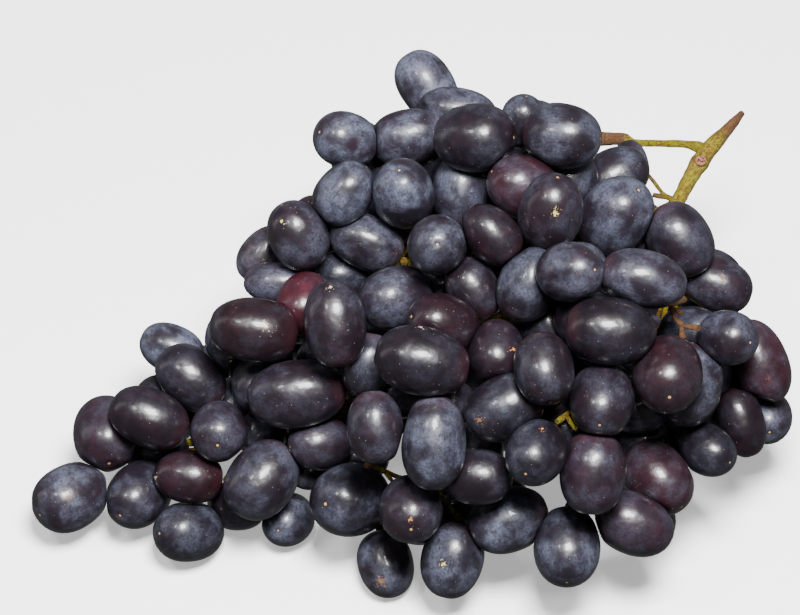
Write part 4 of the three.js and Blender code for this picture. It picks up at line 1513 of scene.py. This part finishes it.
@dataclass
class GrapeMould:
    """One grape of unit half sizes, outer end up, from which all are copied."""

    name: str
    levels: int
    segments: int = 10
    rings: int = 6
    dimple: float = 0.09
    scar_pit: float = 0.02
    pit_width: float = 0.14
    bluntness: float = 2.22  # the power of the oval, 2 for a plain one
    cap_height: float = 0.88  # the faces over it are those of a pole
    cap_inset: float = 0.3
    cap_lift: float = 0.05
    pit_inset: float = 0.09

    def cast(self) -> bpy.types.Object:
        """Model the mould.

        Returns:
            The mould, whose corners reach to 1 along each axis.
        """
        deselect_all()
        bpy.ops.mesh.primitive_uv_sphere_add(
            segments=self.segments, ring_count=self.rings, radius=1, location=(0, 0, 0)
        )
        mould = bpy.context.object
        mould.name = self.name
        self._sink_pole(mould, -1, self.dimple)
        self._sink_pole(mould, 1, self.scar_pit)
        bpy.ops.object.mode_set(mode="OBJECT")
        apply_levels(mould, self.levels)
        bpy.ops.object.shade_smooth()
        corners = corners_of(mould)
        set_corners(mould, self._blunted(corners / np.abs(corners).max(axis=0)))
        return mould

    def _blunted(self, corners: np.ndarray) -> np.ndarray:
        """Bring corners to a blunt oval, and keep the pits at its poles.

        Args:
            corners: The rounded corners.

        Returns:
            The corners of the blunt oval.
        """
        across = np.linalg.norm(corners[:, :2], axis=1)
        along = np.abs(corners[:, 2])
        power = self.bluntness
        out = (across**power + along**power) ** (-1 / power)
        shaped = corners * out[:, None]
        across = np.linalg.norm(shaped[:, :2], axis=1)
        pit = np.exp(-((across / self.pit_width) ** 2))
        deep = np.where(shaped[:, 2] < 0, self.dimple, self.scar_pit)
        shaped[:, 2] -= np.sign(shaped[:, 2]) * deep * pit
        return shaped / np.abs(shaped).max(axis=0)

    def _sink_pole(self, mould: bpy.types.Object, side: int, depth: float) -> None:
        """Inset the faces at a pole and press its middle in.

        Args:
            mould: The mould.
            side: 1 for the outer end, -1 for the end on the stem.
            depth: How far the middle goes in.
        """
        select_faces(mould, lambda middle: middle.z * side > self.cap_height)
        bpy.ops.mesh.inset(thickness=self.cap_inset, depth=0)
        bpy.ops.transform.translate(value=(0, 0, side * self.cap_lift))
        bpy.ops.mesh.inset(thickness=self.pit_inset, depth=0)
        bpy.ops.transform.translate(value=(0, 0, -side * depth))


@dataclass
class Press:
    """How grapes flatten against each other and the table, in millimetres."""

    layout: Layout
    lowest: np.ndarray
    highest: np.ndarray
    softness: float = 0.6
    nearby: float = 0.5  # the widest gap over which neighbours still count

    def shape(self, at: int, corners: np.ndarray) -> np.ndarray:
        """Press the corners of a grape back from its neighbours and the table.

        Args:
            at: The grape's place in the list of all.
            corners: Its corners.

        Returns:
            The pressed corners.
        """
        grape = self.layout.grapes[at]
        own = Shapes.of([grape])
        distance, direction, radii = apart(own, Shapes.of(self.layout.grapes))
        for other in np.flatnonzero(distance[0] < radii[0] + self.nearby):
            if other == at:
                continue
            way = direction[0, other]
            own_reach = own.reach(way[None])[0]
            plane = own_reach + (distance[0, other] - radii[0, other]) / 2
            past = (corners - grape.centre) @ way - plane
            corners = corners - np.outer(self._pushed(past), way)
        corners[:, 2] += self._pushed(-corners[:, 2])
        return np.clip(corners, self.lowest, self.highest)

    def _pushed(self, past: np.ndarray) -> np.ndarray:
        """Say how far corners move back that lie a distance past a plane, softly near it."""
        deep = np.maximum(past + self.softness, 0) / self.softness
        return np.where(deep > 0, past + self.softness * np.exp(-deep), 0)


@dataclass
class Cluster:
    """A cluster of grapes that hold together, joined into one piece."""

    name: str
    members: list[int]
    layout: Layout
    press: Press
    irregularity: float = 0.014
    waves: int = 4
    wave_pitch: float = 1.7
    tapers: tuple[float, float] = (-0.07, 0.05)
    bloom_shares: tuple[float, float] = (0.75, 1.2)
    tone_shares: tuple[float, float] = (0.8, 1.35)
    red_shares: tuple[float, float] = (0.85, 1.35)
    pattern_spread: float = 50  # how far from each other the patterns are read
    far_away: float = 90  # where the mark of a grape without one lies

    def build(self, fine: bpy.types.Object, plain: bpy.types.Object) -> bpy.types.Object:
        """Copy a mould for every grape, give each its own form and marks, and join them.

        Args:
            fine: The mould for grapes that show.
            plain: The mould for hidden ones.

        Returns:
            The piece.
        """
        parts = []
        for at in self.members:
            mould = fine if self.layout.grapes[at].reading else plain
            parts.append(self._grape(at, copy_of(mould)))
        return join(parts, self.name)

    def _grape(self, at: int, piece: bpy.types.Object) -> bpy.types.Object:
        """Shape and mark one grape.

        Args:
            at: The grape's place in the list of all.
            piece: A copy of a mould.

        Returns:
            The same copy, finished.
        """
        grape = self.layout.grapes[at]
        draw = random.Random(at)
        unit = corners_of(piece)
        lumps = self._lumps(unit, draw)
        waist = 1 + draw.uniform(*self.tapers) * unit[:, 2]
        sizes = np.array([grape.half_width, grape.half_width, grape.half_length])
        local = unit * lumps[:, None] * sizes
        local[:, :2] *= waist[:, None]
        turned = self._directions(grape, draw.uniform(0, math.tau))
        corners = self.press.shape(at, grape.centre + local @ turned)
        set_corners(piece, in_metres(corners))

        offset = np.array([draw.uniform(-self.pattern_spread, self.pattern_spread) for _ in sizes])
        tint = self._tint(grape.reading, draw)
        mark, mark_tint = self._mark(grape, turned, sizes, unit, offset)
        count = len(unit)
        store(piece, "unit_place", "FLOAT_VECTOR", unit)
        store(piece, "skin_place", "FLOAT_VECTOR", unit * sizes / PATTERN_UNIT + offset)
        store(piece, "skin_tint", "FLOAT_COLOR", np.tile(tint, (count, 1)))
        store(piece, "mark_place", "FLOAT_VECTOR", np.tile(mark, (count, 1)))
        store(piece, "mark_tint", "FLOAT_COLOR", np.tile(mark_tint, (count, 1)))
        return piece

    def _lumps(self, unit: np.ndarray, draw: random.Random) -> np.ndarray:
        """Make a grape slightly lumpy.

        Args:
            unit: The corners of its mould.
            draw: Makes the draws.

        Returns:
            The share of its size that each corner gets.
        """
        lumps = np.ones(len(unit))
        for _ in range(self.waves):
            way = np.array([draw.gauss(0, 1) for _ in range(3)])
            phase = draw.uniform(0, math.tau)
            lumps += self.irregularity * np.sin(self.wave_pitch * unit @ way + phase) / 2
        return lumps

    def _tint(self, reading: Reading | None, draw: random.Random) -> np.ndarray:
        """Draw a grape's own shade of its skin's colour and its own amount of bloom.

        Args:
            reading: What the picture shows of the grape, if it does.
            draw: Makes the draws.

        Returns:
            The colour, with the bloom as its fourth number.
        """
        skin = reading.skin if reading else Skin.INDIGO
        bloom = reading.bloom if reading else Bloom.USUAL
        tint = np.array([*skin.value, bloom.value * draw.uniform(*self.bloom_shares)])
        tint[:3] *= draw.uniform(*self.tone_shares)
        if skin is Skin.INDIGO:
            tint[0] *= draw.uniform(*self.red_shares)
        return tint

    def _directions(self, grape: Grape, roll: float) -> np.ndarray:
        """Find a grape's own directions.

        Args:
            grape: The grape.
            roll: How far it is turned about its axis.

        Returns:
            The directions, one a row, with its axis last.
        """
        side = beside(grape.axis)
        first = side * math.cos(roll) + np.cross(grape.axis, side) * math.sin(roll)
        return np.array([first, np.cross(grape.axis, first), grape.axis])

    def _mark(
        self,
        grape: Grape,
        turned: np.ndarray,
        sizes: np.ndarray,
        unit: np.ndarray,
        offset: np.ndarray,
    ) -> tuple[np.ndarray, np.ndarray]:
        """Place the mark that the picture shows on a grape.

        Args:
            grape: The grape.
            turned: Its own directions, one a row.
            sizes: Its half sizes along them.
            unit: The corners of its mould.
            offset: The offset of its skin's pattern.

        Returns:
            The mark's place in the skin's pattern, and its colour with its radius as the
            fourth number. A grape without a mark gets one far away from it.
        """
        mark = self.layout.marks.get(id(grape))
        if not mark:
            return offset + self.far_away, np.zeros(4)
        start, along = PICTURE.sight_line(mark.px, mark.py)
        spot = start + along * grape.entered(start, along)
        way = turned @ (spot - grape.centre) / sizes
        reach = np.linalg.norm(unit, axis=1)
        nearest = np.argmax(unit @ way / reach)
        place = way * reach[nearest] * sizes / PATTERN_UNIT + offset
        return place, np.array([*mark.kind.value, mark.radius / PATTERN_UNIT])


# A pedicel from its grape to the stem, each place as its share of the way, radius and age
PEDICEL_PROFILE = (
    (0, 1.5, 0.55),
    (0.05, 1.6, 0.5),
    (0.11, 1.2, 0.35),
    (0.2, 0.75, 0.25),
    (0.5, 0.65, 0.2),
    (0.85, 0.75, 0.2),
    (1, 1.0, 0.25),
)


@dataclass
class Stems:
    """The branching stem with its twigs and pedicels, one piece of wood."""

    layout: Layout
    name: str = "stem_dressed"
    sides: int = 14
    bare_sides: int = 10
    pedicel_sides: int = 8
    bare_seed: int = 40
    pedicel_seed: int = 100
    ring_step: float = 1.6
    fewest_rings: int = 4
    lumpiness: float = 0.07
    ring_unevenness: float = 0.05
    node_swelling: float = 0.1
    node_pitch: float = 0.55  # radians a ring
    node_sharpness: int = 6
    pattern_step: float = 7.3  # from one branch's bark to the next one's
    pedicel_sag: float = 0.8
    end_taper: float = 0.72
    cut_taper: float = 0.97
    knot_place: tuple[float, float, float] = (700, 161, 60.5)
    knot_radius: float = 1.7
    knot_lift: float = 3.6  # towards the viewer
    knot_sides: int = 18
    knot_rim: float = 0.4  # the face lies further out than this share of its radius
    # Of each ring of the knot's face the inset and the lift, as shares of its radius
    knot_rings: tuple[tuple[float, float], ...] = ((0.3, -0.25), (0.25, 0.2), (0.25, -0.15))
    torn_age: float = 1.3

    def build(self) -> bpy.types.Object:
        """Model every branch and join them.

        Returns:
            The piece.
        """
        parts = []
        for seed, (name, line) in enumerate(self.layout.framework.items()):
            taper = self.cut_taper if name == "main" else self.end_taper
            parts.append(self._branch(line, seed, self.sides, taper))
        for seed, line in enumerate(self.layout.bare_stems.values(), self.bare_seed):
            parts.append(self._branch(line, seed, self.bare_sides, self.end_taper))
        for at in range(len(self.layout.grapes)):
            ends = self.layout.pedicel(at)
            if ends:
                line = self._flared(*ends)
                seed = self.pedicel_seed + at
                parts.append(self._branch(line, seed, self.pedicel_sides, self.end_taper))
        parts.append(self._knot())
        return join(parts, self.name)

    def _knot(self) -> bpy.types.Object:
        """Model the round scar that a lost branch left on the near side of the main stem.

        Returns:
            The knot.
        """
        place = PICTURE.pictured(*self.knot_place) - PICTURE.away * self.knot_lift
        middle = Vector(in_metres(place))
        facing = Vector(-PICTURE.away)
        radius = self.knot_radius * MM
        deselect_all()
        bpy.ops.mesh.primitive_cylinder_add(
            vertices=self.knot_sides,
            radius=radius,
            depth=radius,
            location=middle,
            rotation=(math.pi / 2 - PICTURE.elevation, 0, 0),
        )
        bpy.ops.object.transform_apply(location=True, rotation=True, scale=True)
        knot = bpy.context.object
        select_faces(knot, lambda spot: (spot - middle).dot(facing) > self.knot_rim * radius)
        for inset, lift in self.knot_rings:
            bpy.ops.mesh.inset(thickness=inset * radius, depth=0)
            bpy.ops.transform.translate(value=facing * lift * radius)
        bpy.ops.object.mode_set(mode="OBJECT")
        apply_levels(knot, 1)
        bpy.ops.object.shade_smooth()
        count = len(knot.data.vertices)
        store(knot, "stem_age", "FLOAT", np.full(count, self.torn_age))
        store(knot, "stem_run", "FLOAT_VECTOR", corners_of(knot) / MM)
        return knot

    def _flared(self, root: np.ndarray, foot: np.ndarray) -> StemLine:
        """Give a pedicel its warty receptacle under the grape, and a slight sag.

        Args:
            root: Its end at the grape.
            foot: Its end at the stem.

        Returns:
            Its line.
        """
        shares, radii, ages = np.array(PEDICEL_PROFILE).T
        points = root + np.outer(shares, foot - root)
        points[:, 2] -= self.pedicel_sag * np.sin(math.pi * shares)
        return StemLine(points, radii, ages)

    def _branch(self, line: StemLine, seed: int, sides: int, taper: float) -> bpy.types.Object:
        """Model one branch as a rod with a ring for each short step, then lay it along its line.

        Args:
            line: The places it runs through.
            seed: Seeds its lumps.
            sides: How many sides it has.
            taper: The share of its radius that is left at its ends.

        Returns:
            The branch.
        """
        places, radii, ages = self._finer(line)
        rings = len(places)
        rod = self._rod(rings, sides)
        corners = corners_of(rod)
        ring = np.clip(np.rint(corners[:, 2]).astype(int), 0, rings - 1)
        around = np.arctan2(corners[:, 1], corners[:, 0])
        side = np.rint(around / math.tau * sides).astype(int) % sides
        radius = radii[ring] * self._unevenness(ring, side, seed)
        radius[(ring == 0) | (ring == rings - 1)] *= taper
        first, second = self._carried(places)
        moved = places[ring] + first[ring] * (radius * np.cos(around))[:, None]
        moved += second[ring] * (radius * np.sin(around))[:, None]
        set_corners(rod, in_metres(moved))
        run = np.stack([np.cos(around), np.sin(around), ring * self.ring_step], -1)
        store(rod, "stem_age", "FLOAT", ages[ring])
        store(rod, "stem_run", "FLOAT_VECTOR", run + seed * self.pattern_step)
        return rod

    def _unevenness(self, ring: np.ndarray, side: np.ndarray, seed: int) -> np.ndarray:
        """Make a branch lumpy, with swollen nodes along it.

        Args:
            ring: The ring of each corner.
            side: The side of each corner.
            seed: Seeds the lumps.

        Returns:
            The share of its radius that each corner gets.
        """
        draw = random.Random(seed)
        lumps = [draw.uniform(-self.lumpiness, self.lumpiness) for _ in range(side.max() + 1)]
        spread = self.ring_unevenness
        uneven = [draw.uniform(-spread, spread) for _ in range(ring.max() + 1)]
        swells = np.maximum(0, np.sin(ring * self.node_pitch + seed)) ** self.node_sharpness
        swollen = 1 + self.node_swelling * swells
        return (1 + np.array(lumps)[side]) * swollen * (1 + np.array(uneven)[ring])

    def _finer(self, line: StemLine) -> tuple[np.ndarray, np.ndarray, np.ndarray]:
        """Run a smooth line through a branch's places, with a ring for each short step.

        Args:
            line: The places.

        Returns:
            The rings' middles, radii and ages.
        """
        lengths = np.linalg.norm(np.diff(line.points, axis=0), axis=1)
        knots = np.concatenate([[0], np.cumsum(lengths)])
        count = max(self.fewest_rings, int(knots[-1] / self.ring_step) + 1)
        steps = np.linspace(0, knots[-1], count)
        tangents = np.gradient(line.points, knots, axis=0)
        at = np.clip(np.searchsorted(knots, steps, side="right") - 1, 0, len(lengths) - 1)
        share = ((steps - knots[at]) / lengths[at])[:, None]
        span = lengths[at][:, None]
        rise = share * share * (3 - 2 * share)
        places = line.points[at] * (1 - rise) + line.points[at + 1] * rise
        places += tangents[at] * span * share * (1 - share) ** 2
        places -= tangents[at + 1] * span * share**2 * (1 - share)
        return places, np.interp(steps, knots, line.radii), np.interp(steps, knots, line.ages)

    def _rod(self, rings: int, sides: int) -> bpy.types.Object:
        """Extrude a straight rod.

        Args:
            rings: How many rings it has, one unit apart.
            sides: How many sides it has.

        Returns:
            The rod, with flat ends.
        """
        deselect_all()
        bpy.ops.mesh.primitive_circle_add(vertices=sides, radius=1, fill_type="NGON")
        rod = bpy.context.object
        bpy.ops.object.mode_set(mode="EDIT")
        bpy.ops.mesh.select_all(action="SELECT")
        for _ in range(rings - 1):
            bpy.ops.mesh.extrude_region_move(TRANSFORM_OT_translate={"value": (0, 0, 1)})
        bpy.ops.mesh.select_all(action="SELECT")
        bpy.ops.mesh.normals_make_consistent(inside=False)
        bpy.ops.object.mode_set(mode="OBJECT")
        bpy.ops.object.shade_smooth()
        for face in rod.data.polygons:
            face.use_smooth = len(face.vertices) == 4
        return rod

    def _carried(self, places: np.ndarray) -> tuple[np.ndarray, np.ndarray]:
        """Carry two side directions along a branch without twisting them.

        Args:
            places: The rings' middles.

        Returns:
            The two directions of each ring.
        """
        ahead = np.gradient(places, axis=0)
        ahead /= np.linalg.norm(ahead, axis=1)[:, None]
        side = beside(ahead[0])
        first = np.empty_like(ahead)
        for ring, way in enumerate(ahead):
            side = side - way * (side @ way)
            side = side / np.linalg.norm(side)
            first[ring] = side
        return first, np.cross(ahead, first)


@dataclass(frozen=True)
class Softbox:
    """A soft light aimed at the bunch, with lengths in metres."""

    name: str
    azimuth: float  # degrees from the camera's side of the bunch, rightwards
    elevation: float  # degrees over the table
    distance: float
    width: float
    height: float
    power: float

    def hang(self, target: Vector) -> bpy.types.Object:
        """Hang the light and turn it to the bunch.

        Args:
            target: The middle of the bunch.

        Returns:
            The light.
        """
        azimuth = math.radians(self.azimuth)
        elevation = math.radians(self.elevation)
        level = math.cos(elevation) * self.distance
        offset = Vector((math.sin(azimuth) * level, -math.cos(azimuth) * level, 0))
        offset.z = math.sin(elevation) * self.distance
        bpy.ops.object.light_add(type="AREA", location=target + offset)
        lamp = bpy.context.object
        lamp.name = self.name
        lamp.rotation_euler = offset.to_track_quat("Z", "Y").to_euler()
        lamp.data.shape = "RECTANGLE"
        lamp.data.size = self.width
        lamp.data.size_y = self.height
        lamp.data.energy = self.power
        return lamp


@dataclass
class Studio:
    """The table, the lights and the camera."""

    softboxes: tuple[Softbox, ...] = (
        Softbox("key_softbox", 20, 73, distance=1.0, width=0.32, height=0.28, power=44),
        Softbox("second_softbox", -62, 62, distance=1.1, width=0.16, height=0.16, power=4),
        Softbox("side_panel", -98, 22, distance=1.0, width=0.25, height=0.9, power=1.6),
    )
    surround: float = 0.2
    aim_height: float = 0.04  # metres, like the other lengths but the sensor's
    table_size: float = 30
    sensor_width: float = 36  # millimetres
    seen_from: float = 0.01
    seen_to: float = 100

    def set_up(self) -> None:
        """Build the table, hang the lights and place the camera."""
        middle = Vector((0, 0, self.aim_height))
        for softbox in self.softboxes:
            softbox.hang(middle)
        self._table()
        self._surround()
        self._camera()

    def _table(self) -> None:
        """Lay the table under the bunch, whose dark undersides it doesn't brighten."""
        deselect_all()
        bpy.ops.mesh.primitive_plane_add(size=self.table_size, location=(0, 0, 0))
        table = bpy.context.object
        table.name = "table"
        table.data.materials.append(TableTop().material())
        table.visible_diffuse = False
        table.visible_glossy = False
        table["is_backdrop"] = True

    def _surround(self) -> None:
        """Light the scene evenly from all round."""
        world = bpy.data.worlds.new("studio")
        world.use_nodes = True
        background = world.node_tree.nodes["Background"]
        background.inputs["Color"].default_value = colour(1, 1, 1)
        background.inputs["Strength"].default_value = self.surround
        bpy.context.scene.world = world

    def _camera(self) -> None:
        """Place the camera where the picture was taken from."""
        place = np.array(PICTURE.target) - PICTURE.away * PICTURE.distance
        bpy.ops.object.camera_add(location=Vector(in_metres(place)))
        camera = bpy.context.object
        camera.name = "portrait_camera"
        camera.rotation_euler = (math.pi / 2 - PICTURE.elevation, 0, 0)
        shown = PICTURE.width_pixels * PICTURE.mm_per_pixel
        camera.data.sensor_width = self.sensor_width
        camera.data.lens = self.sensor_width * PICTURE.distance / shown
        camera.data.clip_start = self.seen_from
        camera.data.clip_end = self.seen_to
        bpy.context.scene.camera = camera


@dataclass
class Bunch:
    """The whole bunch: clusters of dark grapes, one red grape and the stem."""

    layout: Layout
    lowest: np.ndarray
    highest: np.ndarray

    def build(self) -> None:
        """Build each piece, dress it, and put it in the place of its nodes."""
        press = Press(self.layout, self.lowest, self.highest)
        fine = GrapeMould("fine_mould", levels=2).cast()
        plain = GrapeMould("plain_mould", levels=1).cast()
        skin = GrapeSkin().material()
        for cluster in VISIBLE:
            red = cluster == RED_CLUSTER
            name = "berry_red" if red else f"berries_{cluster}"
            numbered = enumerate(self.layout.grapes)
            members = [at for at, grape in numbered if grape.cluster == cluster]
            piece = Cluster(f"{name}_dressed", members, self.layout, press).build(fine, plain)
            nodes = [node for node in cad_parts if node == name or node.startswith(f"{name}_")]
            self._hand_over(piece, skin, nodes)
            LOG.info("%s: %d grapes in place of %s", piece.name, len(members), ", ".join(nodes))
        for mould in (fine, plain):
            bpy.data.objects.remove(mould)
        stem = Stems(self.layout).build()
        self._hand_over(stem, StemBark().material(), ["stem"])
        LOG.info("%s: %d faces", stem.name, len(stem.data.polygons))

    def _hand_over(
        self, piece: bpy.types.Object, finish: bpy.types.Material, nodes: Sequence[str]
    ) -> None:
        """Dress a piece, let it ride on the bunch and put it in the place of its nodes.

        Args:
            piece: The piece.
            finish: Its material.
            nodes: The names of the nodes.
        """
        piece.data.materials.clear()
        piece.data.materials.append(finish)
        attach(piece, "root")
        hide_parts(*nodes)


def corners_of_box(bounds: Any) -> tuple[np.ndarray, np.ndarray]:
    """Read the lowest and highest corner of a box in metres, in the layout's millimetres."""
    lowest, highest = (np.array([float(value) for value in corner]) for corner in bounds)
    return lowest / MM + FOOTPRINT_MIDDLE, highest / MM + FOOTPRINT_MIDDLE


def main() -> None:
    """Build the bunch within the box of the model's solids, and its studio."""
    logging.basicConfig(level=logging.INFO, format="%(name)s: %(message)s")
    solid_box = [[float(value) for value in corner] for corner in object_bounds()]
    lowest, highest = corners_of_box(solid_box)
    Bunch(Layout(), lowest, highest).build()
    Studio().set_up()


if __name__ == "__main__":
    main()
